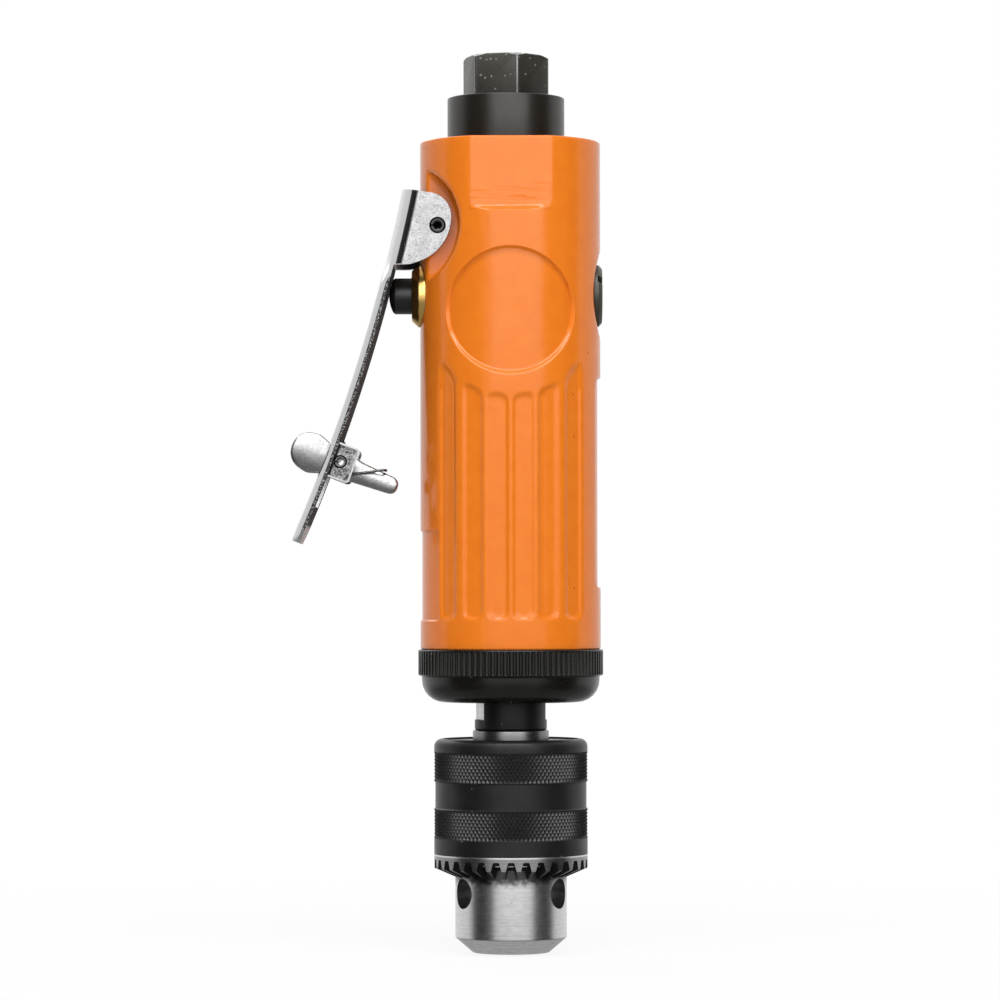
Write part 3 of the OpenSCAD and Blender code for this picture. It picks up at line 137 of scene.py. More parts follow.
def add_operator(name, operation):
    """Gives Wire an operator, and its reflected form so that a number may come first."""
    setattr(Wire, f"__{name}__", lambda self, other: self.math(operation, self, other))
    setattr(Wire, f"__r{name}__", lambda self, other: self.math(operation, other, self))


OPERATORS = {
    "add": "ADD", "sub": "SUBTRACT", "mul": "MULTIPLY", "truediv": "DIVIDE", "pow": "POWER",
    "lt": "LESS_THAN", "gt": "GREATER_THAN",
}
for name, operation in OPERATORS.items():
    add_operator(name, operation)
print(len(OPERATORS), "operators work on wires")


class Nodes:
    """A node tree; node() adds one node and returns the wire from one of its outputs."""

    def __init__(self, tree):
        self.tree = tree

    def feed(self, socket, value):
        if isinstance(value, Wire):
            self.tree.links.new(value.socket, socket)
        else:
            for link in list(socket.links):
                self.tree.links.remove(link)
            socket.default_value = value

    def node(self, kind, settings=None, sockets=None, output=0):
        made = self.tree.nodes.new(kind)
        for name, value in (settings or {}).items():
            setattr(made, name, value)
        for name, value in (sockets or {}).items():
            self.feed(made.inputs[name], value)
        return Wire(self, made.outputs[output])


# %% [markdown]
# ## Finishes
# Every finish starts from the Principled shader. Patterns are read from Object coordinates, which are
# metres on the tool itself, so a grain of half a millimetre stays half a millimetre on every piece.

# %% The finish class
class Finish(Nodes):
    """A material round one Principled shader, with patterns measured in millimetres."""

    def __init__(self, name, **constants):
        self.material = bpy.data.materials.new(name)
        self.material.use_nodes = True
        super().__init__(self.material.node_tree)
        self.shader = self.tree.nodes["Principled BSDF"]
        self.place = self.node("ShaderNodeTexCoord", output="Object")
        self.wear(**constants)

    def wear(self, **inputs):
        """Sets or links sockets of the shader; base_color stands for Base Color."""
        for name, value in inputs.items():
            self.feed(self.shader.inputs[name.replace("_", " ").title().replace("Ior", "IOR")], value)

    def now(self, name):
        """The wire that feeds a socket of the shader so far."""
        return Wire(self, self.shader.inputs[name].links[0].from_socket)

    def axis(self, name):
        """One coordinate of the place, in millimetres."""
        return self.node("ShaderNodeSeparateXYZ", sockets={0: self.place}, output=name) * 1000

    def scaled(self, per_mm, stretch=(1, 1, 1)):
        scale = [1000 * per_mm * s for s in stretch]
        return self.node("ShaderNodeVectorMath", {"operation": "MULTIPLY"}, {0: self.place, 1: scale})

    def noise(self, grain, detail=2.0, stretch=(1, 1, 1), rough=0.5):
        """Cloudy noise from 0 to 1 with grains of about that many millimetres."""
        sockets = {"Vector": self.scaled(1 / grain, stretch), "Scale": 1.0, "Detail": detail}
        sockets["Roughness"] = rough
        return self.node("ShaderNodeTexNoise", sockets=sockets)

    def specks(self, spacing, size, share):
        """1 on round specks of that size; only a share of the cells has one."""
        cells = {"Vector": self.scaled(1 / spacing), "Scale": 1.0}
        near = self.node("ShaderNodeTexVoronoi", sockets=cells, output="Distance")
        tint = self.node("ShaderNodeTexVoronoi", sockets=cells, output="Color")
        chosen = self.node("ShaderNodeSeparateColor", sockets={0: tint}, output=0) < share
        return (1 - near.ramp(size / spacing * 0.6, size / spacing)) * chosen

    def mix(self, factor, first, second):
        return self.node(
            "ShaderNodeMix", {"data_type": "RGBA", "clamp_factor": True},
            {0: factor, 6: first, 7: second}, output=2,
        )

    def bump(self, height, depth):
        """Dents the surface; depth is what a height of 1 stands for, in millimetres."""
        self.wear(normal=self.node("ShaderNodeBump", sockets={"Height": height, "Distance": depth * MM}))


def grey(value):
    return (value, value, value, 1)


print("finish class ready")

# %% [markdown]
# ## Studio
# The reflections in the photograph tell how it was lit: a large soft box in front and above, dark cards
# at both sides, white all round behind, and a smaller light overhead. A weak box behind fills the far
# side. The world is white where the camera, a mirror or glass looks at it and dimmer as a lamp. The dark
# cards and the soft boxes don't show themselves to the camera.

# %% World
AMBIENT = 0.45
LOW_SHADE = 0.35
LOW_BAND = (-0.4, -0.12)

scene.view_settings.view_transform = "Standard"
world = bpy.data.worlds.new("studio")
world.use_nodes = True
scene.world = world


def seen_by(nodes, *outputs):
    """1 for the kinds of ray that are named, 0 for the rest."""
    total = 0.0
    for output in outputs:
        total = nodes.node("ShaderNodeLightPath", output=output) + total
    return nodes.node("ShaderNodeClamp", sockets={"Value": total})


studio = Nodes(world.node_tree)
direction = studio.node("ShaderNodeTexCoord", output="Generated")
height = studio.node("ShaderNodeSeparateXYZ", sockets={0: direction}, output="Z")
plain = seen_by(studio, "Is Camera Ray", "Is Transmission Ray")
mirrored = seen_by(studio, "Is Glossy Ray") * (LOW_SHADE + (1 - LOW_SHADE) * height.ramp(*LOW_BAND))
lamp_share = 1 - seen_by(studio, "Is Camera Ray", "Is Transmission Ray", "Is Glossy Ray")
background = world.node_tree.nodes["Background"]
background.inputs["Color"].default_value = grey(1)
studio.feed(background.inputs["Strength"], plain + mirrored + lamp_share * AMBIENT)
print("world as a lamp:", AMBIENT)

# %% Floor
def only(obj):
    """Deselects everything, then selects obj and makes it the active one."""
    bpy.ops.object.select_all(action="DESELECT")
    obj.select_set(True)
    bpy.context.view_layer.objects.active = obj
    return obj


FLOOR_SIZE = 6
FLOOR_DROP = 0.4
FLOOR_GLOW = 0.9
SHADE_REACH = (0.04, 0.30)
bpy.ops.object.select_all(action="DESELECT")
bpy.ops.mesh.primitive_plane_add(size=FLOOR_SIZE, location=(0, 0, -FLOOR_DROP * MM))
floor = bpy.context.object
floor.name = "floor"
floor_paint = bpy.data.materials.new("floor_paint")
floor_paint.use_nodes = True
floor_nodes = Nodes(floor_paint.node_tree)
floor_nodes.tree.nodes.remove(floor_nodes.tree.nodes["Principled BSDF"])
matt = floor_nodes.node("ShaderNodeBsdfDiffuse", sockets={"Color": grey(0.7)})
glow = floor_nodes.node("ShaderNodeEmission", sockets={"Color": grey(1)})
spot = floor_nodes.node("ShaderNodeTexCoord", output="Object")
away = floor_nodes.node("ShaderNodeVectorMath", {"operation": "LENGTH"}, {0: spot}, output="Value")
glowing = FLOOR_GLOW + (1 - FLOOR_GLOW) * away.ramp(*SHADE_REACH)
shown = seen_by(floor_nodes, "Is Camera Ray", "Is Transmission Ray") * glowing
mixed = floor_nodes.node("ShaderNodeMixShader", sockets={0: shown, 1: matt, 2: glow})
floor_nodes.feed(floor_nodes.tree.nodes["Material Output"].inputs["Surface"], mixed)
floor.data.materials.append(floor_paint)
floor.visible_glossy = False
print("floor", FLOOR_SIZE, "m wide")

# %% Lamps and dark cards
CARD_DISTANCE = 0.7
CARD_HEIGHT = 1.1


def toward(azimuth, elevation, distance):
    """A point seen from the tool's middle; azimuth 0 is the camera's side, 90 the right."""
    a = math.radians(azimuth)
    e = math.radians(elevation)
    flat = math.cos(e) * distance
    return Vector((math.sin(a) * flat, -math.cos(a) * flat, AIM_HEIGHT * MM + math.sin(e) * distance))


def soft_box(name, azimuth, elevation, distance, width, height, radiance):
    """A rectangular lamp that faces the tool, with the brightness of its face given."""
    place = toward(azimuth, elevation, distance)
    facing = (Vector((0, 0, AIM_HEIGHT * MM)) - place).to_track_quat("-Z", "Y").to_euler()
    bpy.ops.object.select_all(action="DESELECT")
    bpy.ops.object.light_add(type="AREA", location=place, rotation=facing)
    lamp = bpy.context.object
    lamp.name = name
    lamp.data.shape = "RECTANGLE"
    lamp.data.size = width
    lamp.data.size_y = height
    lamp.data.energy = radiance * math.pi * width * height
    lamp.visible_camera = False
    return lamp


def dark_card(name, start, end):
    """A black card that stands beside the tool, from one azimuth to another."""
    first = toward(start, 0, CARD_DISTANCE)
    last = toward(end, 0, CARD_DISTANCE)
    along = last - first
    bpy.ops.object.select_all(action="DESELECT")
    bpy.ops.mesh.primitive_plane_add(
        size=1, location=(first + last) / 2,
        rotation=(math.radians(90), 0, math.atan2(along.y, along.x)),
    )
    card = bpy.context.object
    card.name = name
    card.scale = (along.length, CARD_HEIGHT, 1)
    card.data.materials.append(card_black.material)
    card.visible_camera = False
    return card


card_black = Finish("card_black", base_color=grey(0.03), roughness=0.9)
soft_box("front_box", 8, 22, 1.4, 1.9, 0.9, 2.4)
soft_box("top_box", 0, 60, 1.0, 0.9, 0.3, 10)
soft_box("back_box", 200, 38, 1.4, 1.4, 0.8, 1.4)
dark_card("left_card", -36, -88)
dark_card("right_card", 46, 95)
print("three soft boxes and two dark cards")

# %% [markdown]
# ## Enamel, oxide and bare metal
# The housing is cast and enamelled: glossy orange that follows the casting's small waves, with a few
# pits. The nut, sleeve and spindle are blackened steel. The chuck's nose and gear ring are bare turned
# steel, so fine rings run round them. The lever is plated sheet, with the dull, torn band that a shear
# leaves along a cut edge, and the lock-off is a plated casting, tumbled smooth.

# %% Orange enamel
ORANGE = (0.645, 0.161, 0.012, 1)
DEEP_ORANGE = (0.60, 0.130, 0.009, 1)
PIT_BROWN = (0.20, 0.035, 0.008, 1)
FLAT_LOW = 163
FLAT_HALF = 18

enamel = Finish("orange_enamel", specular_ior_level=0.30)
waves = enamel.noise(3.4, 2.0)
orange_peel = enamel.noise(0.8, 1.0)
pits = enamel.specks(3.4, 0.26, 0.08)
streaks = enamel.noise(1.0, 2.0, (0.22, 0.22, 0.9))
on_flat = (abs(enamel.axis("Y")) > FLAT_HALF - 0.1) * enamel.axis("Z").ramp(FLAT_LOW, FLAT_LOW + 0.6)
rough_cast = on_flat * (1 - enamel.axis("Z").ramp(FLAT_LOW + 2, FLAT_LOW + 10)) * streaks
orange = enamel.mix(waves.ramp(0.3, 0.8) * 0.4, ORANGE, DEEP_ORANGE)
enamel.wear(base_color=enamel.mix(pits * 0.8, orange, PIT_BROWN), roughness=0.14 + orange_peel * 0.08)
enamel.bump(waves * 0.6 + orange_peel * 0.03 - pits * 0.6 + rough_cast * 4, 0.05)
print("orange enamel")

# %% Blackened steel and castings
def blackened(name, tint, roughness, gloss=0.3, speck_share=0.12, speck_gap=2.2, speck_size=0.22):
    """Dark oxide or paint with cloudy wear and a few pale specks."""
    finish = Finish(name, specular_ior_level=gloss)
    clouds = finish.noise(4.0, 3.0)
    grit = finish.noise(0.5, 2.0)
    dust = finish.specks(speck_gap, speck_size, speck_share)
    dark = [c * 0.6 for c in tint[:3]] + [1]
    base = finish.mix(clouds.ramp(0.25, 0.75), tint, dark)
    finish.wear(base_color=finish.mix(dust * 0.7, base, (0.22, 0.21, 0.18, 1)))
    finish.wear(roughness=roughness + clouds * 0.12 - 0.06 + grit * 0.08)
    finish.bump(grit + dust, 0.012)
    return finish


oxide = blackened("black_oxide", grey(0.010), 0.34, 0.22)
knurl_black = blackened("knurl_black", grey(0.012), 0.24, 0.55)
nut_black = blackened("nut_black", (0.008, 0.0075, 0.006, 1), 0.22, 0.30)
collar_black = blackened("collar_black", (0.011, 0.009, 0.006, 1), 0.27, 0.45)
hex_black = blackened("hexagon_black", (0.028, 0.025, 0.018, 1), 0.26, 0.40, 0.34, 1.1, 0.30)
regulator_black = blackened("regulator_black", (0.042, 0.039, 0.026, 1), 0.36, 0.5)
pin_black = blackened("pin_black", grey(0.010), 0.30, 0.5)
plastic = blackened("button_plastic", grey(0.010), 0.30, 0.4, 0.05)
rubber = blackened("seal_rubber", grey(0.016), 0.62, 0.4, 0.03)
print("blackened finishes")

# %% Bare turned steel
def turned_steel(name, shade, roughness, ring=0.22, axis="Z", depth=0.01):
    """Bright steel with the fine rings that a lathe leaves round an axis."""
    finish = Finish(name, metallic=1.0)
    along = finish.axis(axis)
    thread = finish.node("ShaderNodeCombineXYZ", sockets={0: along / ring})
    rings = finish.node("ShaderNodeTexNoise", sockets={"Vector": thread, "Scale": 1.0, "Detail": 3.0})
    clouds = finish.noise(1.6, 3.0, (1, 1, 3))
    spots = finish.specks(1.5, 0.2, 0.10)
    bright = grey(shade)
    dull = grey(shade * 0.72)
    base = finish.mix((rings * 0.65 + clouds * 0.35).ramp(0.3, 0.65), dull, bright)
    finish.wear(base_color=finish.mix(spots * 0.6, base, grey(0.12)))
    finish.wear(roughness=roughness + clouds * 0.10 - 0.05)
    finish.bump(rings, depth)
    return finish


SHADE_AND_GRIME_BAND = (15.6, 18.0)
RIM_HIGHLIGHT_BAND = (21.25, 21.5)

nose_steel = turned_steel("turned_steel", 0.66, 0.31, depth=0.004)
# Painted shade, with some grime: the nose turns darker towards the gear teeth that overhang it.
teeth_shade_and_grime = nose_steel.axis("Z") + nose_steel.noise(1.2, 2.0) * 2.4
nose_steel.wear(base_color=nose_steel.mix(teeth_shade_and_grime.ramp(*SHADE_AND_GRIME_BAND), nose_steel.now("Base Color"), grey(0.06)))
# Painted light: a brighter copy of the turned steel for the down-facing chamfer, standing for the pale floor
# that it mirrors.
lit_chamfer_steel = turned_steel("lit_chamfer_steel", 0.97, 0.40, depth=0.004)
edge_wear_and_highlight = turned_steel("edge_wear_and_highlight", 0.30, 0.34)
gear_steel = turned_steel("gear_steel", 0.50, 0.30, 0.35, depth=0.005)
hub_steel_and_shade = turned_steel("hub_steel_and_shade", 0.23, 0.30, 0.35, depth=0.005)
rim_steel = turned_steel("rim_steel", 0.26, 0.32, 0.35, depth=0.005)
# Painted highlight: a light line along the top of the gear ring.
painted_rim_highlight = rim_steel.axis("Z").ramp(*RIM_HIGHLIGHT_BAND)
rim_steel.wear(base_color=rim_steel.mix(painted_rim_highlight, rim_steel.now("Base Color"), grey(0.62)))
bearing_steel = turned_steel("bearing_steel", 0.66, 0.20, 0.3)
rotor_steel = turned_steel("rotor_steel", 0.50, 0.36, 0.5)
jaw_steel = turned_steel("jaw_steel", 0.34, 0.38, 0.4)
aluminium = turned_steel("plate_metal", 0.58, 0.40, 0.5)
brass = turned_steel("brass", 0.5, 0.24, 0.3, "X")
brass_tint = brass.mix(brass.noise(3.0, 2.0), (0.62, 0.38, 0.10, 1), (0.78, 0.52, 0.18, 1))
brass.wear(base_color=brass_tint)
print("turned metals")

# %% Plated sheet
LEVER_CENTRE = (-406.071, 246.453)
LEVER_OUTER = 390.0
LEVER_SHEET = 2.0
LOCK = Vector((-37.4753, 108.4))
LOCK_LEAN = math.radians(20.62)
LOCK_COS = math.cos(LOCK_LEAN)
LOCK_SIN = math.sin(LOCK_LEAN)
TAB_HALF = 4.0
TAB_REACH = 3.3
END_LIGHT_BAND = (93.6, 94.8)


def plated(name, bright, dull):
    """Bright plating over sheet: nearly a mirror, with fine pits and rubbed patches."""
    finish = Finish(name, metallic=1.0)
    clouds = finish.noise(1.8, 3.0)
    grit = finish.noise(0.4, 3.0, rough=0.6)
    pits = finish.specks(0.8, 0.2, 0.35)
    rubbed = finish.mix((clouds * 0.4 + grit * 0.6).ramp(0.35, 0.65), grey(bright), grey(dull))
    finish.wear(base_color=finish.mix(pits * 0.7, rubbed, grey(dull * 0.5)))
    finish.wear(roughness=0.06 + clouds * 0.08 + grit * 0.06)
    finish.bump(grit * 0.5 - pits + clouds * 0.8, 0.012)
    return finish


def under_skin(finish):
    """How deep a place lies under the lever's bowed outer face, in millimetres."""
    out = finish.axis("X") - LEVER_CENTRE[0]
    down = finish.axis("Z") - LEVER_CENTRE[1]
    return (out * out + down * down) ** 0.5 - LEVER_OUTER


print("plating ready")

# %% The plated pieces
blotched = plated("blotched_plating", 0.46, 0.03)
tab_x = blotched.axis("X") - LOCK.x
tab_z = blotched.axis("Z") - LOCK.y
tab_out = tab_x * LOCK_COS - tab_z * LOCK_SIN
tab_up = tab_x * LOCK_SIN + tab_z * LOCK_COS
# Painted highlight along the tabs' rims, and painted shade at their feet, where they bend from the strap.
tab_rim_highlight = tab_out.ramp(TAB_REACH - 0.5, TAB_REACH - 0.3)
tab_rim_highlight = tab_rim_highlight + abs(tab_up).ramp(TAB_HALF - 0.5, TAB_HALF - 0.3)
tab_foot_shade = 1 - tab_out.ramp(-1.3, -0.8)
tab_face_shaded = blotched.mix(tab_foot_shade, blotched.now("Base Color"), grey(0.012))
blotched.wear(base_color=blotched.mix(tab_rim_highlight, tab_face_shaded, grey(0.5)))
lever_plate = plated("lever_plating", 0.26, 0.18)
tumbled = plated("tumbled_plating", 0.40, 0.28)
tumbled.wear(roughness=0.26 + tumbled.noise(0.6, 2.0) * 0.10)
polish = 1 - under_skin(lever_plate).ramp(2.2, 3.6)
satin = polish * (1 - abs(lever_plate.axis("Y")).ramp(6.0, 8.6))
brushed = lever_plate.noise(0.5, 2.0, (1, 1, 0.06))
polished = lever_plate.mix(polish, lever_plate.now("Base Color"), grey(0.56))
lever_plate.wear(
    base_color=lever_plate.mix(satin, polished, lever_plate.mix(brushed, grey(0.62), grey(0.85))),
    roughness=lever_plate.now("Roughness") + satin * (0.40 + brushed * 0.12),
)
print("tabs, lever and lock-off are plated")

# %% Sheared edge, dull and shaded inside, and spring wire
sheared = plated("sheared_edge", 0.4, 0.3)
crumbs = sheared.noise(0.45, 3.0, rough=0.7)
torn_grey = sheared.mix(crumbs.ramp(0.46, 0.74), grey(0.012), grey(0.42))
sheared.wear(base_color=torn_grey, metallic=0.3, roughness=0.52, specular_ior_level=0.3)
sheared.bump(crumbs, 0.10)
# The lever's inner face and the pin's bore are dark and without gloss: partly the unpolished inside, partly
# painted shade.
inner_face_and_shade = Finish("dull_and_shaded_inside", metallic=0.0, roughness=0.8, specular_ior_level=0.03)
flecks = inner_face_and_shade.noise(0.5, 3.0, rough=0.7)
unpolished = inner_face_and_shade.mix(flecks.ramp(0.42, 0.75), grey(0.015), grey(0.22))
# Painted highlight: the strip's lower end is painted lighter, where its rounded corners catch the light.
painted_end_light = 1 - inner_face_and_shade.axis("Z").ramp(*END_LIGHT_BAND)
inner_face_and_shade.wear(base_color=inner_face_and_shade.mix(painted_end_light, unpolished, grey(0.55)))
inner_face_and_shade.bump(flecks, 0.05)
wire = plated("spring_wire", 0.26, 0.10)
wire.wear(base_color=wire.mix(wire.noise(0.8, 2.0), grey(0.05), grey(0.16)), roughness=0.30)
print("sheared edge, dull inside and wire")

# %% Felt and blade laminate
felt = Finish("muffler_felt", metallic=0.0, roughness=0.95)
fibres = felt.noise(0.3, 4.0, (1, 1, 3), 0.7)
felt.wear(base_color=felt.mix(fibres, grey(0.16), grey(0.45)))
felt.bump(fibres, 0.2)
laminate = Finish("blade_laminate", metallic=0.0)
plies = laminate.noise(0.25, 3.0, (1, 1, 0.05))
laminate.wear(base_color=laminate.mix(plies, (0.20, 0.09, 0.03, 1), (0.36, 0.18, 0.07, 1)))
laminate.wear(roughness=0.55 + plies * 0.15)
laminate.bump(plies, 0.03)
print("felt and laminate")

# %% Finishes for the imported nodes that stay
ENDS = ("rear", "front", "spindle")
BEARINGS = [f"{end}_bearing_{part}" for end in ENDS for part in ("outer", "inner", "balls")]
KEPT = {
    bearing_steel: BEARINGS + ["planet_pins", "cylinder_dowel", "regulator_ring", "inlet_screen"],
    rotor_steel: ["rotor", "ring_gear", "gear_spacer"] + [f"planet_gear_{k}" for k in (1, 2, 3)],
    jaw_steel: ["chuck_nut"] + [f"chuck_jaw_{k}" for k in (1, 2, 3)],
    aluminium: ["motor_cylinder", "front_end_plate", "rear_end_plate"],
    rubber: ["inlet_seal", "valve_stem_seal", "valve_seal", "regulator_seal", "spindle_seal"],
    felt: ["muffler_felt"],
    laminate: ["rotor_blades"],
}
for finish, names in KEPT.items():
    for name in names:
        node = frame["nodes"][name]
        node.data.materials.clear()
        node.data.materials.append(finish.material)
print(sum(len(names) for names in KEPT.values()), "packed nodes have their finish")

# %% [markdown]
# ## Tools for modelling
# Most pieces of a drill are turned, so the first helper is a lathe: a point is extruded along a profile
# and the profile is spun round the axis. Corners get small arcs first, because no real edge is sharp.

# %% Profile and lathe
def rounded(corners, closed=False, step=15):
    """Turns (a, b, rounding) corners into points, with an arc at every corner that has a rounding."""
    points = []
    count = len(corners)
    for i, corner in enumerate(corners):
        here = Vector(corner[:2])
        radius = corner[2] if len(corner) > 2 else 0
        inside = closed or 0 < i < count - 1
        if not radius or not inside:
            points.append(tuple(here))
            continue
        back = (Vector(corners[i - 1][:2]) - here).normalized()
        ahead = (Vector(corners[(i + 1) % count][:2]) - here).normalized()
        half = math.acos(max(-1, min(1, back.dot(ahead)))) / 2
        centre = here + (back + ahead).normalized() * radius / math.sin(half)
        first = here + back * radius / math.tan(half) - centre
        last = here + ahead * radius / math.tan(half) - centre
        sweep = math.atan2(first.x * last.y - first.y * last.x, first.dot(last))
        pieces = max(2, math.ceil(abs(math.degrees(sweep)) / step))
        for k in range(pieces + 1):
            a = sweep * k / pieces
            turn = Vector((
                first.x * math.cos(a) - first.y * math.sin(a),
                first.x * math.sin(a) + first.y * math.cos(a),
            ))
            points.append(tuple(centre + turn))
    return points


def tidy_mesh():
    """In edit mode: merges doubles and turns all faces outwards."""
    bpy.ops.mesh.select_all(action="SELECT")
    bpy.ops.mesh.remove_doubles(threshold=1e-3)
    bpy.ops.mesh.normals_make_consistent(inside=False)
    bpy.ops.object.mode_set(mode="OBJECT")


def lathe(name, profile, steps=128):
    """Extrudes a point along (radius, height) places and spins the line round Z."""
    bpy.ops.object.select_all(action="DESELECT")
    bpy.ops.mesh.primitive_plane_add(size=1)
    obj = bpy.context.object
    obj.name = name
    bpy.ops.object.mode_set(mode="EDIT")
    bpy.ops.mesh.merge(type="CENTER")
    bpy.ops.transform.translate(value=(profile[0][0], 0, profile[0][1]))
    for (r0, z0), (r1, z1) in zip(profile, profile[1:]):
        bpy.ops.mesh.extrude_vertices_move(TRANSFORM_OT_translate={"value": (r1 - r0, 0, z1 - z0)})
    bpy.ops.mesh.select_all(action="SELECT")
    bpy.ops.mesh.spin(steps=steps, angle=2 * math.pi, center=(0, 0, 0), axis=(0, 0, 1))
    tidy_mesh()
    return obj


def ring_lathe(name, corners, steps=128):
    """A turned piece whose profile is a closed loop."""
    points = rounded(corners, closed=True)
    return lathe(name, points + points[:1], steps)


print("lathe ready")

# %% Cutting and placing
def combine(obj, other, operation="DIFFERENCE"):
    """Applies a Boolean with another object, which is used up."""
    only(obj)
    modifier = obj.modifiers.new("combine", "BOOLEAN")
    modifier.object = other
    modifier.operation = operation
    modifier.solver = "EXACT"
    bpy.ops.object.modifier_apply(modifier=modifier.name)
    bpy.data.objects.remove(other)
    return obj


def place(obj, matrix):
    """Moves the mesh itself, so that the object stays at the origin."""
    obj.data.transform(matrix)
    return obj


def block(matrix, size):
    """A box of that size, turned and placed by the matrix."""
    bpy.ops.object.select_all(action="DESELECT")
    bpy.ops.mesh.primitive_cube_add(size=1)
    return place(bpy.context.object, matrix @ Matrix.Diagonal((*size, 1)))


AXIS_X = Matrix.Rotation(math.radians(90), 4, "Y")
AXIS_Y = Matrix.Rotation(math.radians(-90), 4, "X")


def along_x(obj, height):
    """Lays a piece that was turned round Z along X at that height; its +Z end points to +X."""
    return place(obj, Matrix.Translation((0, 0, height)) @ AXIS_X)


def along_y(obj, spot):
    """Lays a piece that was turned round Z along Y, with its axis through an (x, z) spot."""
    return place(obj, Matrix.Translation((spot[0], 0, spot[1])) @ AXIS_Y)


def rod(radius, start, end, steps=48):
    """A plain round bar along Z for cutting."""
    return lathe("rod", [(0, start), (radius, start), (radius, end), (0, end)], steps)


print("cutting and placing ready")

# %% New meshes, paint and hanging
def new_mesh(name, points, faces):
    """A new object from its points and faces, opened in edit mode."""
    mesh = bpy.data.meshes.new(name)
    mesh.from_pydata(points, [], faces)
    obj = bpy.data.objects.new(name, mesh)
    scene.collection.objects.link(obj)
    only(obj)
    bpy.ops.object.mode_set(mode="EDIT")
    return obj


def bridge(faces, first, second):
    """Adds the faces between two closed loops of point numbers."""
    for i in range(len(first)):
        k = (i + 1) % len(first)
        faces.append((first[i], first[k], second[k], second[i]))


def slab(name, outline, low, high):
    """Extrudes an outline in X and Z along Y, from low to high."""
    obj = new_mesh(name, [(x, low, z) for x, z in outline], [list(range(len(outline)))])
    bpy.ops.mesh.select_all(action="SELECT")
    bpy.ops.mesh.extrude_region_move(TRANSFORM_OT_translate={"value": (0, high - low, 0)})
    tidy_mesh()
    return obj


SLIVER = 0.004


def clear_slivers(obj):
    """Dissolves the thin slivers that many cuts leave."""
    only(obj)
    bpy.ops.object.mode_set(mode="EDIT")
    bpy.ops.mesh.select_all(action="SELECT")
    bpy.ops.mesh.dissolve_degenerate(threshold=SLIVER)
    bpy.ops.mesh.remove_doubles(threshold=SLIVER)
    bpy.ops.object.mode_set(mode="OBJECT")
    return obj


def paint(obj, finish, chosen=None):
    """Gives a finish to the whole piece, or to the faces that chosen(centre, normal) picks."""
    obj.data.materials.append(finish.material)
    if chosen:
        index = len(obj.data.materials) - 1
        for face in obj.data.polygons:
            if chosen(face.center, face.normal):
                face.material_index = index
    return obj


def hang(obj, body, slot, *nodes, crease=32):
    """Brings a piece to metres, shades it and lets it ride on its body, if it has one."""
    only(obj)
    obj.scale = (MM, MM, MM)
    bpy.ops.object.transform_apply(location=True, rotation=True, scale=True)
    bpy.ops.object.shade_smooth_by_angle(angle=math.radians(crease))
    if body:
        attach(obj, body)
    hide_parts(*nodes)
    print(obj.name, len(obj.data.polygons), "faces")
    return obj


print("painting and hanging ready")

# %% [markdown]
# ## Housing
# The housing is a casting: a round bar with wrench flats, thumb recesses, flutes, panels and pockets,
# and all of their edges are soft. Booleans and bevels would fight over so many meeting edges. Instead
# the skin is a grid round the axis, and each grid point is pushed outwards until it meets the surface of
# a formula, in which every recess is a distance and neighbours are blended. Rows and columns lie closer
# together where a recess has its edge, and a round patch of rings is let in at each thumb recess, so that
# its rim runs smooth.

# %% The housing's surface as a formula
BODY_R = 20
BODY_LOW = 67
BODY_TOP = 179.4
THUMB_Z = 141.2
THUMB_R = 13.7
RECESS = 0.85
RECESS_WALL = 1.0
RECESS_LEAN = 0.35
FLUTE_DEPTH = 0.5
FLUTE_RAMP = 1.9
FLUTE_EASE = 2.0
FLUTES = (8.1, 24.6, 44.0)
FLUTE_HALF = 2.1
FLUTE_LOW = 73.9
FLUTE_ARC = 18.6
VALVE_Z = 145.4
PIVOT = (-16, 160.4)
POCKET_X = -25
POCKET_R = 13.9
BOSS_HALF = 8.0
SCOOP_X = 18.2
SCOOP_R = 7.2
SCOOP_SLOPE = 1.2
SPOT_X = -18.66
SPOT_R = 7.2
LEFT_PANEL = (83.25, 12.3, 9.85, 0.8)
LEFT_SUNK = (0.4, 0.4)
RIGHT_PANEL = (103.8, 7.2, 23.1, 3.0)
RIGHT_SUNK = (0.7, 0.5)
FAR_OFF = 9


def larger(a, b, soft):
    """The larger of two distances, with a soft change from one to the other."""
    near = np.clip(soft - np.abs(a - b), 0, None) / soft
    return np.maximum(a, b) + near * near * soft / 4


def smaller(a, b, soft):
    return -larger(-a, -b, soft)


def panel(y, z, middle, half_y, half_z, corner):
    """Distance to a rectangle with round corners, with its middle at that height."""
    qy = np.abs(y) - half_y + corner
    qz = np.abs(z - middle) - half_z + corner
    return np.hypot(np.clip(qy, 0, None), np.clip(qz, 0, None)) + np.minimum(np.maximum(qy, qz), 0) - corner


def sunk(distance, depth, wall):
    """Depth of a recess: nothing outside its edge, all of it inside, and a smooth wall between."""
    t = np.clip(0.5 - distance / wall, 0, 1)
    return depth * t * t * (3 - 2 * t)


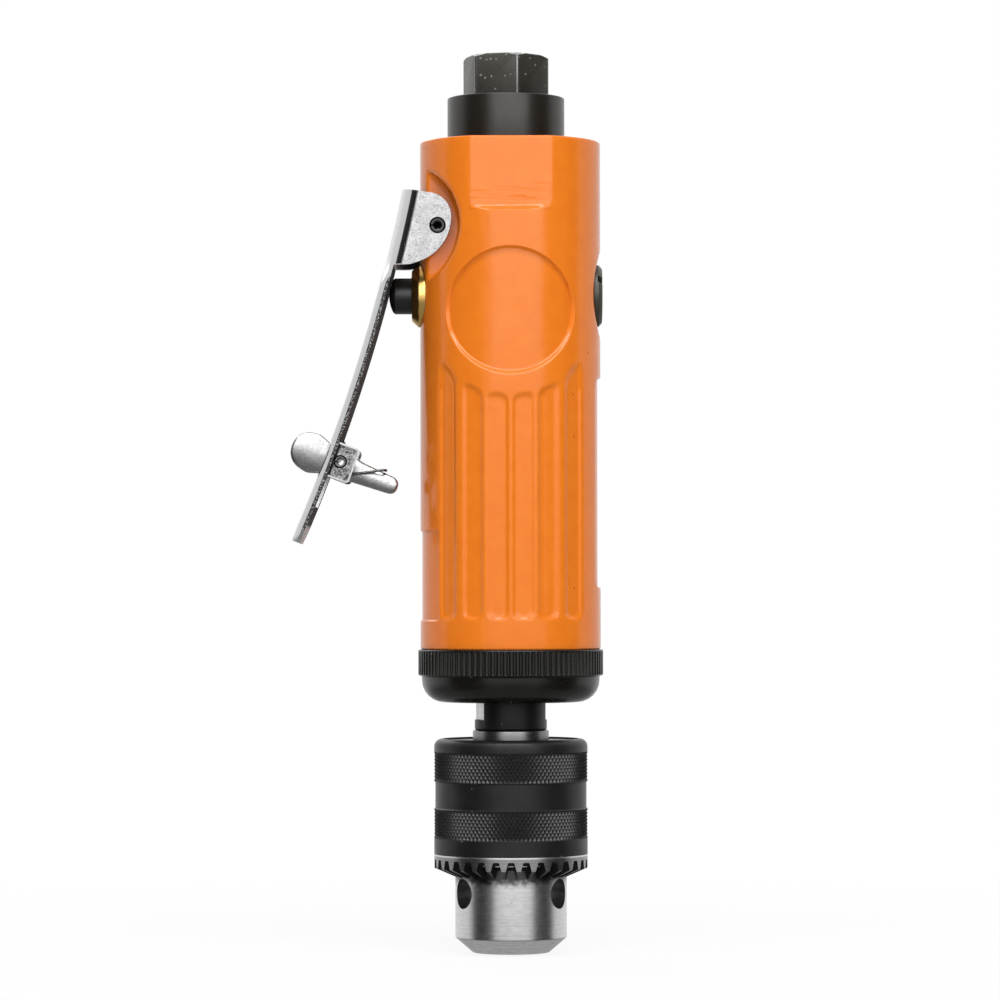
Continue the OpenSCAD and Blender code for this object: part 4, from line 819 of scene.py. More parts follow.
def housing_distance(r, angle, z):
    """Below 0 inside the casting; angle 0 is the front and 90 degrees the right side."""
    x = r * np.sin(angle)
    y = -r * np.cos(angle)
    thumb = np.hypot(x, z - THUMB_Z)
    wall = RECESS_WALL - RECESS_LEAN * (z - THUMB_Z) / np.maximum(thumb, 1)
    recess = sunk(thumb - THUMB_R, RECESS, wall)
    folded = np.arctan2(np.abs(x), np.abs(y))
    for centre in FLUTES:
        across = r * np.sin(folded - math.radians(centre))
        flute = larger((np.abs(across) - FLUTE_HALF) / FLUTE_EASE, (FLUTE_LOW - z) / FLUTE_RAMP, 0.9)
        flute = larger(flute, FLUTE_ARC - thumb, 1.6)
        flute = np.maximum(flute, z - THUMB_Z)
        recess = np.maximum(recess, sunk(flute, FLUTE_DEPTH, 0.6))
    left = np.where(x < 0, panel(y, z, *LEFT_PANEL), FAR_OFF)
    right = np.where(x > 0, panel(y, z, *RIGHT_PANEL), FAR_OFF)
    recess = np.maximum(recess, np.maximum(sunk(left, *LEFT_SUNK), sunk(right, *RIGHT_SUNK)))
    d = r - BODY_R + recess
    d = larger(d, smaller(np.abs(y) - FLAT_HALF, z - FLAT_LOW, 2.4), 0.25)
    pocket = np.hypot(x - POCKET_X, z - PIVOT[1])
    d = larger(d, smaller(POCKET_R - pocket, np.abs(y) - BOSS_HALF, 1.0), 0.6)
    side = np.hypot(y, z - VALVE_Z)
    cone = SCOOP_R + SCOOP_SLOPE * (x - SCOOP_X) - side
    d = larger(d, smaller(cone / math.hypot(1, SCOOP_SLOPE), x - SCOOP_X, 0.6), 0.5)
    return larger(d, smaller(SPOT_R - side, SPOT_X - x, 0.3), 0.3)


print("formula at the front of the thumb recess:", housing_distance(BODY_R, 0.0, THUMB_Z))

# %% Rows and columns of the grid
def spread(*stretches):
    """Places along one direction: each stretch is (start, end, step)."""
    places = []
    for start, end, step in stretches:
        count = max(1, round((end - start) / step))
        places.extend(start + (end - start) * k / count for k in range(count))
    return places


EDGE_STEPS = (-1.5, -1.0, -0.65, -0.35, -0.1, 0.15, 0.45, 0.9, 1.4)
PATCH_ANGLE = 55.0
PATCH_LOW = 124.0
PATCH_HIGH = 158.4
flute_edge = math.degrees(math.asin(FLUTE_HALF / BODY_R))
quarter = set(spread((PATCH_ANGLE, 90, 1.1)))
for centre in FLUTES:
    for side in (-1, 1):
        quarter.update(centre + side * (flute_edge + step) for step in EDGE_STEPS)
    quarter.update((centre - 2, centre, centre + 2))
quarter.update((0.0, 16.35, 34.3))
quarter = sorted(a for a in quarter if 0 <= a < 90)
half = [-90.0] + [-a for a in reversed(quarter) if a > 0] + quarter
columns = np.radians(half + [180 + a for a in half])
rows = np.array(spread(
    (67.4, 72.0, 1.5), (72.0, 75.6, 0.2), (75.6, 80.0, 2.2), (80.0, 81.6, 0.2), (81.6, 92.4, 2.7),
    (92.4, 93.8, 0.2), (93.8, 120.0, 2.6), (120.0, PATCH_LOW, 0.4), (PATCH_LOW, PATCH_HIGH, 0.4),
    (PATCH_HIGH, 162.0, 0.4), (162.0, 164.4, 0.2), (164.4, 175.0, 0.45), (175.0, 179.0, 1.0),
) + [179.0])
print(len(columns), "columns and", len(rows), "rows")

# %% Push the grid out to the casting's surface
def casting_radius(angle, z):
    """Halves the search for the surface along each ray from the axis."""
    inner = np.full(angle.shape, 8.0)
    outer = np.full(angle.shape, BODY_R + 0.3)
    for _ in range(26):
        middle = (inner + outer) / 2
        inside = housing_distance(middle, angle, z) <= 0
        inner = np.where(inside, middle, inner)
        outer = np.where(inside, outer, middle)
    return inner


def ring_of(radius, z, centre_x=0.0):
    """One row of points round the axis."""
    r = np.broadcast_to(radius, columns.shape)
    return np.stack([centre_x + r * np.sin(columns), -r * np.cos(columns), np.full(columns.shape, z)], 1)


INLET_X = -0.9
INLET_BORE = 8.03
INLET_LOW = 163.9
BAY_R = 17.0
BAY_TOP = 134.2
NUT_BORE = 18.03
NUT_TOP = 75.2
EDGE_R = 0.4
angle_grid, row_grid = np.meshgrid(columns, rows)
radius_grid = casting_radius(angle_grid, row_grid)
grid = [
    ring_of(0, BAY_TOP), ring_of(BAY_R, BAY_TOP), ring_of(BAY_R, NUT_TOP),
    ring_of(NUT_BORE, NUT_TOP), ring_of(NUT_BORE, BODY_LOW),
]
for turn in np.radians([0, 30, 60]):
    inset = EDGE_R * (1 - math.sin(turn))
    grid.append(ring_of(radius_grid[0] - inset, BODY_LOW + EDGE_R * (1 - math.cos(turn))))
first_skin = len(grid)
grid.extend(ring_of(radius_grid[i], rows[i]) for i in range(len(rows)))
for turn in np.radians([30, 60, 90]):
    inset = EDGE_R * (1 - math.cos(turn))
    grid.append(ring_of(radius_grid[-1] - inset, BODY_TOP - EDGE_R * (1 - math.sin(turn))))
for radius, z in ((INLET_BORE, BODY_TOP), (INLET_BORE, INLET_LOW), (0, INLET_LOW)):
    grid.append(ring_of(radius, z, INLET_X))
print(len(grid), "rows with the bores")

# %% Round patches for the thumb recesses
RIM_STEPS = (1.3, 1.0, 0.8, 0.6, 0.45, 0.3, 0.15, 0.0, -0.15, -0.3, -0.45, -0.6, -0.8, -1.0, -1.5)
INNER_RADII = (10.5, 8.5, 6.5, 4.5, 2.5, 1.0)
points = [tuple(p) for ring in grid for p in ring]
width = len(columns)
low_row = first_skin + int(np.argmin(np.abs(rows - PATCH_LOW)))
high_row = first_skin + int(np.argmin(np.abs(rows - PATCH_HIGH)))
faces = []
patches = []
for middle in (0.0, 180.0):
    offset = np.abs(np.degrees(columns) - middle)
    inside = np.nonzero(offset <= PATCH_ANGLE + 0.01)[0]
    patches.append((middle, int(inside[0]), int(inside[-1])))
for j in range(len(grid) - 1):
    for i in range(width):
        covered = any(low_row <= j < high_row and first <= i < last for _, first, last in patches)
        if not covered:
            k = (i + 1) % width
            faces.append((j * width + i, j * width + k, (j + 1) * width + k, (j + 1) * width + i))
print(len(faces), "faces round the patches")

# %% Fill the patches with rings
for middle, first, last in patches:
    loop = [low_row * width + i for i in range(first, last)]
    loop += [j * width + last for j in range(low_row, high_row)]
    loop += [high_row * width + i for i in range(last, first, -1)]
    loop += [j * width + first for j in range(high_row, low_row, -1)]
    turn = math.radians(middle)
    sign = math.cos(turn)
    spot_x = np.array([BODY_R * math.sin(columns[v % width]) for v in loop])
    spot_z = np.array([rows[v // width - first_skin] - THUMB_Z for v in loop])
    around = np.arctan2(spot_z, spot_x)
    far = np.hypot(spot_x, spot_z)
    start = THUMB_R + RIM_STEPS[0]
    reaches = [far + (start - far) * t for t in np.linspace(0, 1, 15)[1:-1]]
    reaches += [np.full(far.shape, THUMB_R + step) for step in RIM_STEPS]
    reaches += [np.full(far.shape, radius) for radius in INNER_RADII]
    previous = loop
    for reach in reaches:
        across = reach * np.cos(around)
        angle = turn + sign * np.arcsin(across / BODY_R)
        z = THUMB_Z + reach * np.sin(around)
        radius = casting_radius(angle, z)
        ring = range(len(points), len(points) + len(loop))
        points.extend(zip(radius * np.sin(angle), -radius * np.cos(angle), z))
        bridge(faces, previous, ring)
        previous = ring
    faces.append(tuple(previous))
housing = new_mesh("motor_housing_cast", points, faces)
tidy_mesh()
print("casting:", len(housing.data.polygons), "faces")

# %% Bores through the casting
VALVE_BORE = 5.2
PIVOT_BORE = 1.76
REACH = 30

combine(housing, along_x(rod(VALVE_BORE, -REACH, REACH), VALVE_Z))
combine(housing, along_y(rod(PIVOT_BORE, -REACH, REACH, 32), PIVOT))
paint(housing, enamel)
hang(housing, "housing", "orange_paint", "motor_housing", crease=40)

# %% [markdown]
# ## Clamp nut
# The black nut that closes the housing has a ring of straight flutes for grip and a round shoulder
# below it. It is turned first; then the columns of the ring are moved inwards in a repeating pattern of
# six, which gives each flute a land, two slopes and a floor.

# %% Turn and flute the clamp nut
NUT_RIBS = 92
RIB_PATTERN = (0.0, 0.0, -0.10, -0.38, -0.38, -0.10)
RIB_STEPS = NUT_RIBS * len(RIB_PATTERN)
RIB_LOW = 61.5
RIB_HIGH = 66.6
RIB_INNER = 20.4

nut = ring_lathe("clamp_nut_turned", [
    (11, 55.3, 0.4), (14.6, 55.3), (19.7, 55.3, 4.9), (19.7, 61.0, 0.2), (20.5, 61.3, 0.3),
    (20.5, 61.7), (20.5, 66.4), (20.5, 66.95, 0.3), (18, 66.95), (18, 75, 0.4), (15, 75, 0.4),
    (15, 57.3), (11, 57.3),
], RIB_STEPS)
for vertex in nut.data.vertices:
    r = math.hypot(vertex.co.x, vertex.co.y)
    if r > RIB_INNER and RIB_LOW < vertex.co.z < RIB_HIGH:
        turn = math.atan2(vertex.co.y, vertex.co.x) / (2 * math.pi)
        step = round(turn * RIB_STEPS) % len(RIB_PATTERN)
        vertex.co.xy *= (r + RIB_PATTERN[step]) / r
paint(nut, nut_black)
hang(nut, "housing", "black_oxide", "clamp_nut")

# %% [markdown]
# ## Spindle
# Between nut and chuck the spindle shows a short flange and two wrench flats, one of them rubbed bright.
# It is turned in one go, and two blocks cut the flats.

# %% Turn the spindle and cut its flats
FLATS_HALF = 7.0
FLATS_Z = 53.25
FLATS_TURN = math.radians(13)
FLATS_CUT = (10, 30, 3.7)

spindle = lathe("spindle_turned", rounded([
    (0, 34.6), (4.75, 34.6, 0.5), (4.75, 49.1), (8.0, 49.1, 0.45), (8.0, 55.1), (8.5, 55.1, 0.3),
    (8.5, 64.3), (10.5, 64.3, 0.3), (10.5, 69.8), (13.27, 69.8, 0.3), (13.27, 75.8, 0.3), (0, 75.8),
]), 120)
for side in (-1, 1):
    aside = Matrix.Translation((side * (FLATS_HALF + FLATS_CUT[0] / 2), 0, FLATS_Z))
    combine(spindle, block(Matrix.Rotation(FLATS_TURN, 4, "Z") @ aside, FLATS_CUT))
flat_way = Vector((math.cos(FLATS_TURN), math.sin(FLATS_TURN), 0))


def on_flats(centre, normal):
    """The two flats, rubbed bright by the wrench."""
    level = abs(centre.z - FLATS_Z) < FLATS_CUT[2] / 2
    return level and abs(normal.dot(flat_way)) > 0.999 and centre.xy.length > FLATS_HALF - 1


paint(spindle, oxide)
paint(spindle, gear_steel, on_flats)
hang(spindle, "spindle", "black_oxide", "spindle")

# %% [markdown]
# ## Chuck body
# The bright nose of the chuck has a wide chamfer, three holes for the key's pilot and three slanting
# bores for the jaws. The outside is turned, bars cut the bores, and the slivers that they leave are
# dissolved.

# %% Turn and bore the chuck body
NOSE_R = 12.35
KEY_Z = 13.2
KEY_R = 3.3
KEY_DEPTH = 4.8
KEY_TURNS = (-30, 90, 210)
JAW_TURNS = (-90, 30, 150)
JAW_LEAN = math.radians(14.5)
JAW_AXIS_R = 4.2
JAW_R = 2.78
CHAMFER = (8.3, 3.2)
LEDGE_Z = 19
SLEEVE_SHADE_BAND = (30, 47)
HUB_R = 8.6

chuck = lathe("chuck_body_turned", rounded([
    (0, 0), (8.5, 0, 0.35), (NOSE_R, 3.3, 0.5), (NOSE_R, 19.4), (11.4, 19.4), (11.4, 25.1),
    (14.92, 25.1, 0.3), (14.92, 46.8, 0.4), (8.45, 46.8), (8.45, 49.1, 0.35), (0, 49.1),
]), 160)
combine(chuck, rod(5, -1, 26))
combine(chuck, rod(4.8, 33.6, 50))
for turn in JAW_TURNS:
    lean = Matrix.Rotation(math.radians(turn), 4, "Z") @ Matrix.Translation((JAW_AXIS_R, 0, 0))
    combine(chuck, place(rod(JAW_R, -6, 42), lean @ Matrix.Rotation(JAW_LEAN, 4, "Y")))
for turn in KEY_TURNS:
    outward = Matrix.Rotation(math.radians(turn), 4, "Z") @ Matrix.Translation((0, 0, KEY_Z)) @ AXIS_X
    combine(chuck, place(rod(KEY_R, NOSE_R - KEY_DEPTH, NOSE_R + 4, 64), outward))
clear_slivers(chuck)
print("chuck body with", len(JAW_TURNS), "jaw bores and", len(KEY_TURNS), "key holes")

# %% Finish the chuck body
def in_key_hole(centre, outer):
    """The walls and floors of the key holes, out to that radius."""
    return abs(centre.z - KEY_Z) < KEY_R and 7 < centre.xy.length < outer


paint(chuck, nose_steel)
# The chamfer gets the brighter copy of the steel: painted light.
paint(chuck, lit_chamfer_steel, lambda c, n: c.z < CHAMFER[1] and c.xy.length > CHAMFER[0])
# Painted shade in the key holes: their walls get a darker steel and their floors the darkest.
paint(chuck, gear_steel, lambda c, n: in_key_hole(c, NOSE_R - 0.35))
paint(chuck, hub_steel_and_shade, lambda c, n: c.z > LEDGE_Z or in_key_hole(c, NOSE_R - KEY_DEPTH + 0.85))
# Painted shade: the chuck body inside the sleeve is painted black.
paint(chuck, oxide, lambda c, n: SLEEVE_SHADE_BAND[0] < c.z < SLEEVE_SHADE_BAND[1] and c.xy.length > HUB_R)
# Painted shade: the upward faces of the ledge under the sleeve are painted black.
paint(chuck, oxide, lambda c, n: LEDGE_Z < c.z < LEDGE_Z + 1 and n.z > 0.2)
hang(chuck, "spindle", "bright_steel", "chuck_body")

# %% [markdown]
# ## Chuck sleeve
# The sleeve carries two bands of diamond knurl and the bevel teeth that the chuck key turns. A knurl
# needs only two columns for each diamond: where row and column numbers add up to an even number the
# grid point lies in a groove, and where they don't it is a peak. Each square is then split along its
# groove. The teeth are cut by one wedge, copied round the ring.

# %% Turn the sleeve with rows for the knurl
DIAMONDS = 108
KNURL_BANDS = ((25.5, 31.5), (38.1, 44.1))
KNURL_ROWS = 8
KNURL_DEPTH = 0.34
SLEEVE_R = 17.0
SLEEVE_BORE = 12.43
CAVITY_R = 15.0
TEETH_Z = 18.7
BRIGHT_TO = 21.7
WAIST = [(SLEEVE_R - 0.25, 32.0), (SLEEVE_R - 0.25, 37.6)]

outside = [(SLEEVE_BORE, 16.7), (SLEEVE_R, TEETH_Z), (SLEEVE_R, BRIGHT_TO), (SLEEVE_R, BRIGHT_TO + 0.12)]
for low, high in KNURL_BANDS:
    outside.append((SLEEVE_R, low - 0.25))
    outside.extend((SLEEVE_R, low + (high - low) * k / KNURL_ROWS) for k in range(KNURL_ROWS + 1))
    outside.append((SLEEVE_R, high + 0.25))
    if high < WAIST[0][1]:
        outside += WAIST
crown = rounded([(SLEEVE_R, 44.6), (SLEEVE_R, 47.2, 1.75), (CAVITY_R, 47.2)])
inside = [(CAVITY_R, 47.0), (CAVITY_R, 19.6), (SLEEVE_BORE, 19.6), (SLEEVE_BORE, 16.7)]
sleeve = lathe("chuck_sleeve_turned", outside + crown + inside, 2 * DIAMONDS)


def knurl_place(vertex):
    """Row and column of a point in a knurled band, or None outside the bands."""
    if math.hypot(vertex.co.x, vertex.co.y) < SLEEVE_R - 0.6:
        return None
    for low, high in KNURL_BANDS:
        row = (vertex.co.z - low) / (high - low) * KNURL_ROWS
        if -0.01 < row < KNURL_ROWS + 0.01:
            column = math.atan2(vertex.co.y, vertex.co.x) / math.pi * DIAMONDS
            return round(row), round(column)
    return None


shape = bmesh.new()
shape.from_mesh(sleeve.data)
grooves = set()
for vertex in shape.verts:
    found = knurl_place(vertex)
    if found and sum(found) % 2 == 0:
        grooves.add(vertex)
for face in list(shape.faces):
    low_corners = [v for v in face.verts if v in grooves]
    if len(face.verts) == 4 and len(low_corners) == 2:
        bmesh.ops.connect_verts(shape, verts=low_corners)
for vertex in grooves:
    vertex.co.xy *= (SLEEVE_R - KNURL_DEPTH) / SLEEVE_R
shape.to_mesh(sleeve.data)
shape.free()
print(len(grooves), "groove points in the knurl")

# %% Cut the bevel teeth
TEETH = 32
TOOTH_DEPTH = 1.8
GAP_OPEN = 0.72
GAP_ROOT = 0.40
OVERRUN = 1.0

pitch = 2 * math.pi * SLEEVE_R / TEETH
slope = math.atan2(2.0, SLEEVE_R - NOSE_R)
gap_start = pitch * (GAP_OPEN + (GAP_OPEN - GAP_ROOT) * OVERRUN / TOOTH_DEPTH) / 2
wedge = slab("wedge", rounded([
    (-gap_start, -OVERRUN), (gap_start, -OVERRUN),
    (pitch * GAP_ROOT / 2, TOOTH_DEPTH, 0.35), (-pitch * GAP_ROOT / 2, TOOTH_DEPTH, 0.35),
], closed=True, step=30), -1.0, 6.0)
place(wedge, Matrix.Rotation(math.radians(90), 4, "Z"))
place(wedge, Matrix.Translation((SLEEVE_R, 0, TEETH_Z)) @ Matrix.Rotation(-slope, 4, "Y"))
for k in range(1, TEETH):
    copy = wedge.copy()
    copy.data = wedge.data.copy()
    scene.collection.objects.link(copy)
    place(copy, Matrix.Rotation(2 * math.pi * k / TEETH, 4, "Z"))
only(wedge)
for obj in scene.objects:
    if obj.name.startswith("wedge"):
        obj.select_set(True)
bpy.ops.object.join()
combine(sleeve, wedge)
print(TEETH, "gaps cut")

# %% Finish the sleeve
def on_rim(centre, normal):
    """True for the bright outside of the gear ring, not for the walls of its gaps."""
    return centre.xy.length > SLEEVE_R - 0.06 and centre.z < BRIGHT_TO + 0.02 and abs(normal.z) < 0.3


def on_teeth(centre, normal):
    """True for the cone that the teeth end in."""
    above_cone = centre.z - (TEETH_Z - (SLEEVE_R - centre.xy.length) * math.tan(slope))
    return above_cone < 0.15 and normal.z < -0.5


def in_knurl(centre, normal):
    """The two knurled bands."""
    return centre.xy.length > SLEEVE_R - 0.5 and any(a < centre.z < b for a, b in KNURL_BANDS)


paint(sleeve, oxide)
paint(sleeve, knurl_black, in_knurl)
paint(sleeve, rim_steel, on_rim)
# Painted shade: the down-facing cone under the teeth gets the darker hub steel.
paint(sleeve, hub_steel_and_shade, on_teeth)
hang(sleeve, "chuck_sleeve", "black_oxide", "chuck_sleeve", crease=28)

# %% [markdown]
# ## Air inlet
# A plain collar with a ring of exhaust holes sits on the housing, and a hexagonal bush holds it down.
# The hexagon is a six-sided cylinder, its corners turned off by a cone, with its edges broken. A
# threaded hole takes the hose fitting: the thread is one fine ridge wound round the bore.

# %% Collar
HOLES = 10
HOLE_RING = 10.6

collar = ring_lathe("exhaust_collar_turned", [
    (13.0, 179.45, 0.25), (13.0, 189.4, 0.35), (7.05, 189.4, 0.3), (7.05, 186.9),
    (11.95, 186.9), (11.95, 179.45),
], 128)
for k in range(HOLES):
    turn = 2 * math.pi * k / HOLES
    spot = Matrix.Translation((HOLE_RING * math.cos(turn), HOLE_RING * math.sin(turn), 0))
    combine(collar, place(rod(0.95, 184, 192, 24), spot))
clear_slivers(collar)
place(collar, Matrix.Translation((INLET_X, 0, 0)))
paint(collar, collar_black)
hang(collar, "housing", "dark_inlet", "exhaust_collar")

# %% Hexagon bush with its thread
HEX_AF = 17.0
HEX_LOW = 189.4
HEX_TOP = 198.7
HEX_TURN = math.radians(-14)
HEX_EDGE = 0.35
BORE_R = 5.7
THREAD_PITCH = 1.34
THREAD_DEPTH = 0.55
TAP_LOW = HEX_TOP - 14
TAP_RUN = 14.8
TAP_ROWS = 130

bpy.ops.object.select_all(action="DESELECT")
bpy.ops.mesh.primitive_cylinder_add(vertices=6, radius=HEX_AF / math.sqrt(3), depth=HEX_TOP - HEX_LOW)
hexagon = bpy.context.object
hexagon.name = "inlet_bush_hexagon"
place(hexagon, Matrix.Rotation(HEX_TURN + math.radians(30), 4, "Z"))
place(hexagon, Matrix.Translation((0, 0, (HEX_TOP + HEX_LOW) / 2)))
bevel = hexagon.modifiers.new("broken_edges", "BEVEL")
bevel.width = HEX_EDGE
bevel.segments = 3
bevel.limit_method = "ANGLE"
bevel.angle_limit = math.radians(40)
bpy.ops.object.modifier_apply(modifier=bevel.name)
cone = lathe("cone", [(0, 180), (12, 180), (12, HEX_TOP - 2.0), (8.55, HEX_TOP), (0, HEX_TOP)], 128)
combine(hexagon, cone, "INTERSECT")
print("hexagon made")

# %% Shank and threaded bore
combine(hexagon, lathe("shank", rounded([
    (0, 165.4), (7.0, 165.4, 0.5), (7.0, HEX_LOW + 3), (0, HEX_LOW + 3),
]), 96), "UNION")
combine(hexagon, rod(4.0, 160, 190))
tap_side = [(BORE_R, TAP_LOW + TAP_RUN * k / TAP_ROWS) for k in range(TAP_ROWS + 1)]
tap_mouth = [(BORE_R + 1.2, HEX_TOP + 2.0), (0, HEX_TOP + 2.0)]
tap = lathe("tap", [(0, TAP_LOW)] + tap_side + tap_mouth, 60)
for vertex in tap.data.vertices:
    r = math.hypot(vertex.co.x, vertex.co.y)
    if 0.5 < r < BORE_R + 0.01 and vertex.co.z < HEX_TOP - 0.6:
        turn = math.atan2(vertex.co.y, vertex.co.x) / (2 * math.pi)
        wave = (vertex.co.z / THREAD_PITCH - turn) % 1.0
        vertex.co.xy *= (r + THREAD_DEPTH * (0.5 - abs(wave - 0.5)) * 2 - THREAD_DEPTH) / r
combine(hexagon, tap)
place(hexagon, Matrix.Translation((INLET_X, 0, 0)))
paint(hexagon, hex_black)


def is_corner(centre, normal):
    """The broken edges between the hexagon's flats."""
    turn = math.degrees(math.atan2(normal.y, normal.x) - HEX_TURN) % 60
    far_out = math.hypot(centre.x - INLET_X, centre.y) > HEX_AF / 2 + 0.1
    return far_out and centre.z > HEX_LOW and abs(normal.z) < 0.9 and abs(turn - 30) < 24


# The hexagon's corners are lighter bare steel: partly wear, partly a painted highlight along its edges.
paint(hexagon, edge_wear_and_highlight, is_corner)
hang(hexagon, "housing", "dark_inlet", "inlet_bush")

# %% [markdown]
# ## Throttle lever
# The lever is one strip of sheet, bowed along its length, with two ears bent back at the top for the
# pivot pin and rounded corners at its lower end. Its side view is extruded a little too wide, and a bent
# skin then takes off the rest: a loft along the bow whose section is crowned over the back and bends
# tightly beside the ears. A narrower block takes out the inside of the channel. The back is brushed along
# its length, and the cut edges stay as the shear tore them.

# %% The lever's side view
LEVER_TOP = math.radians(11.5)
LEVER_END = math.radians(23.473)
LEVER_HALF = 10.3
EAR_Z = 162.3
EAR_BOTTOM = (-23.4, 10.4)
EAR_CORNER = (-18.4, 5.4)
EAR_LOW = EAR_Z - EAR_BOTTOM[1]
EAR_BEND = (3.1, 9.0, 50)
STRIP_BEND = (0.15, 4.4, 45)
BEND_RUN = 5.5
BEND_BELOW = 4.4
END_CORNER = 5.0
SPARE = 1.0
SKIN_REACH = 35


def on_bow(radius, angle):
    return (LEVER_CENTRE[0] + radius * math.cos(angle), LEVER_CENTRE[1] - radius * math.sin(angle))


def bow_at(radius, z):
    return (LEVER_CENTRE[0] + math.sqrt(radius ** 2 - (LEVER_CENTRE[1] - z) ** 2), z)


BOW_STEPS = 48
outer_line = [on_bow(LEVER_OUTER - SPARE, a) for a in np.linspace(LEVER_TOP, LEVER_END, BOW_STEPS + 1)]
strip_end = on_bow(LEVER_OUTER, LEVER_END)[1] - 0.7
inner_line = [bow_at(LEVER_OUTER + LEVER_SHEET, z) for z in np.linspace(strip_end, EAR_LOW, BOW_STEPS)]
ear_line = []
for centre, radius in (EAR_BOTTOM, EAR_CORNER):
    first = -90 if radius > EAR_CORNER[1] else 0
    for a in np.radians(np.arange(first, first + 91, 5)):
        ear_line.append((centre + radius * math.cos(a), EAR_Z + radius * math.sin(a)))
side_view = outer_line + inner_line + ear_line
lever = slab("throttle_lever_bent", side_view, -LEVER_HALF - SPARE, LEVER_HALF + SPARE)
print("side view with", len(side_view), "points")

# %% The bent skin
def skin_profile(share):
    """(depth, width) points over the lever's back; share is 1 beside the ears and 0 along the strip."""
    tight, crown, meet = (b + (a - b) * share for a, b in zip(EAR_BEND, STRIP_BEND))
    meet = math.radians(meet)
    crown_depth = crown * (1 - math.sin(meet))
    crown_edge = LEVER_HALF - tight * (1 - math.cos(meet))
    side = [(SKIN_REACH, LEVER_HALF)]
    for turn in np.linspace(0, meet, 9):
        depth = crown_depth + tight * (math.sin(meet) - math.sin(turn))
        side.append((depth, LEVER_HALF - tight * (1 - math.cos(turn))))
    for turn in np.linspace(meet, math.pi / 2, 10)[1:]:
        side.append((crown * (1 - math.sin(turn)), crown_edge - crown * (math.cos(meet) - math.cos(turn))))
    return side + [(depth, -width) for depth, width in reversed(side)]


points = []
faces = []
corner_from = LEVER_END - END_CORNER / LEVER_OUTER
stations = list(np.linspace(LEVER_TOP - 0.02, corner_from, 86))
stations += [LEVER_END - END_CORNER * (1 - math.sin(t)) / LEVER_OUTER for t in np.linspace(0.2, 1.5, 10)]
stations.append(LEVER_END + 0.02)
for a in stations:
    past = np.clip((a - corner_from) * LEVER_OUTER, 0, END_CORNER)
    inset = END_CORNER - math.sqrt(END_CORNER ** 2 - past ** 2)
    rise = np.clip((on_bow(LEVER_OUTER, a)[1] - EAR_LOW + BEND_BELOW) / BEND_RUN, 0, 1)
    profile = skin_profile(rise * rise * (3 - 2 * rise))
    for depth, width in profile:
        x, z = on_bow(LEVER_OUTER + depth, a)
        points.append((x, math.copysign(abs(width) - inset, width), z))
count = len(profile)
for j in range(len(stations) - 1):
    bridge(faces, range(j * count, (j + 1) * count), range((j + 1) * count, (j + 2) * count))
faces.append(tuple(range(count)))
faces.append(tuple(range(len(points) - count, len(points))))
skin = new_mesh("skin", points, faces)
tidy_mesh()
combine(lever, skin, "INTERSECT")
print("lever bent:", len(lever.data.polygons), "faces")

# %% Hollow and slot the lever
HOLLOW_HALF = 8.3
HOLLOW_LOW = EAR_LOW - 0.3
HOLLOW_TOP = 172
SLOT_HALF = 6.6
SLOT = [(-6, -11.2), (2.2, -11.2), (2.2, 3.7), (-6, 3.7)]


def at_lock(points):
    """Brings places given from the lock-off's pin, across and along the lever, to X and Z."""
    return [(LOCK.x + x * LOCK_COS + y * LOCK_SIN, LOCK.y - x * LOCK_SIN + y * LOCK_COS) for x, y in points]


hollow = [bow_at(LEVER_OUTER + LEVER_SHEET, z) for z in np.linspace(HOLLOW_LOW, HOLLOW_TOP, 30)]
hollow += [(0, HOLLOW_TOP), (0, HOLLOW_LOW)]
combine(lever, slab("hollow", hollow, -HOLLOW_HALF, HOLLOW_HALF))
combine(lever, slab("slot", at_lock(SLOT), -SLOT_HALF, SLOT_HALF))
print("lever bent and slotted")

# %% Tabs and pin holes
TAB_ROOT = -2.6
TAB_OUTER = SLOT_HALF + LEVER_SHEET
ACROSS = 20

tab = rounded([
    (TAB_ROOT, -TAB_HALF), (TAB_REACH, -TAB_HALF, 1.0), (TAB_REACH, TAB_HALF, 1.0), (TAB_ROOT, TAB_HALF),
], closed=True)
for low, high in ((-TAB_OUTER, -SLOT_HALF), (SLOT_HALF, TAB_OUTER)):
    combine(lever, slab("tab", at_lock(tab), low, high), "UNION")
combine(lever, along_y(rod(1.83, -ACROSS, ACROSS, 40), PIVOT))
combine(lever, along_y(rod(1.48, -ACROSS, ACROSS, 40), LOCK))
clear_slivers(lever)
print("lever with tabs and pin holes")

# %% Finish the lever
def from_outer_face(centre):
    return math.hypot(centre.x - LEVER_CENTRE[0], centre.z - LEVER_CENTRE[1]) - LEVER_OUTER


def on_strip(centre):
    return from_outer_face(centre) < LEVER_SHEET + 0.1 and centre.z < EAR_LOW


def is_sheared(centre, normal):
    """The cut edges along the strip below the ears."""
    return abs(normal.y) > 0.95 and abs(centre.y) > LEVER_HALF - 0.8 and on_strip(centre)


def is_inside(centre, normal):
    """The strip's inner face, which wasn't polished and gets painted shade."""
    return normal.x > 0.8 and from_outer_face(centre) > LEVER_SHEET - 0.1 and on_strip(centre)


def is_tab(centre, normal):
    """The outer faces of the two small tabs."""
    return abs(normal.y) > 0.9 and abs(abs(centre.y) - TAB_OUTER) < 0.3 and centre.z < EAR_LOW - 10


paint(lever, lever_plate)
paint(lever, sheared, is_sheared)
paint(lever, inner_face_and_shade, is_inside)
paint(lever, blotched, is_tab)
hang(lever, "throttle_lever", "chrome", "throttle_lever")

# %% [markdown]
# ## Lock-off
# A small plated casting swings in the lever's slot: a rounded lobe for the thumb outside, and a finger
# inside that stops the lever until it is swung away. The outline is extruded, remeshed and smoothed, so
# that it looks poured and tumbled, and it gets thinner from a ridge towards its edges.

# %% Lock-off
LOCK_HALF = 3.0


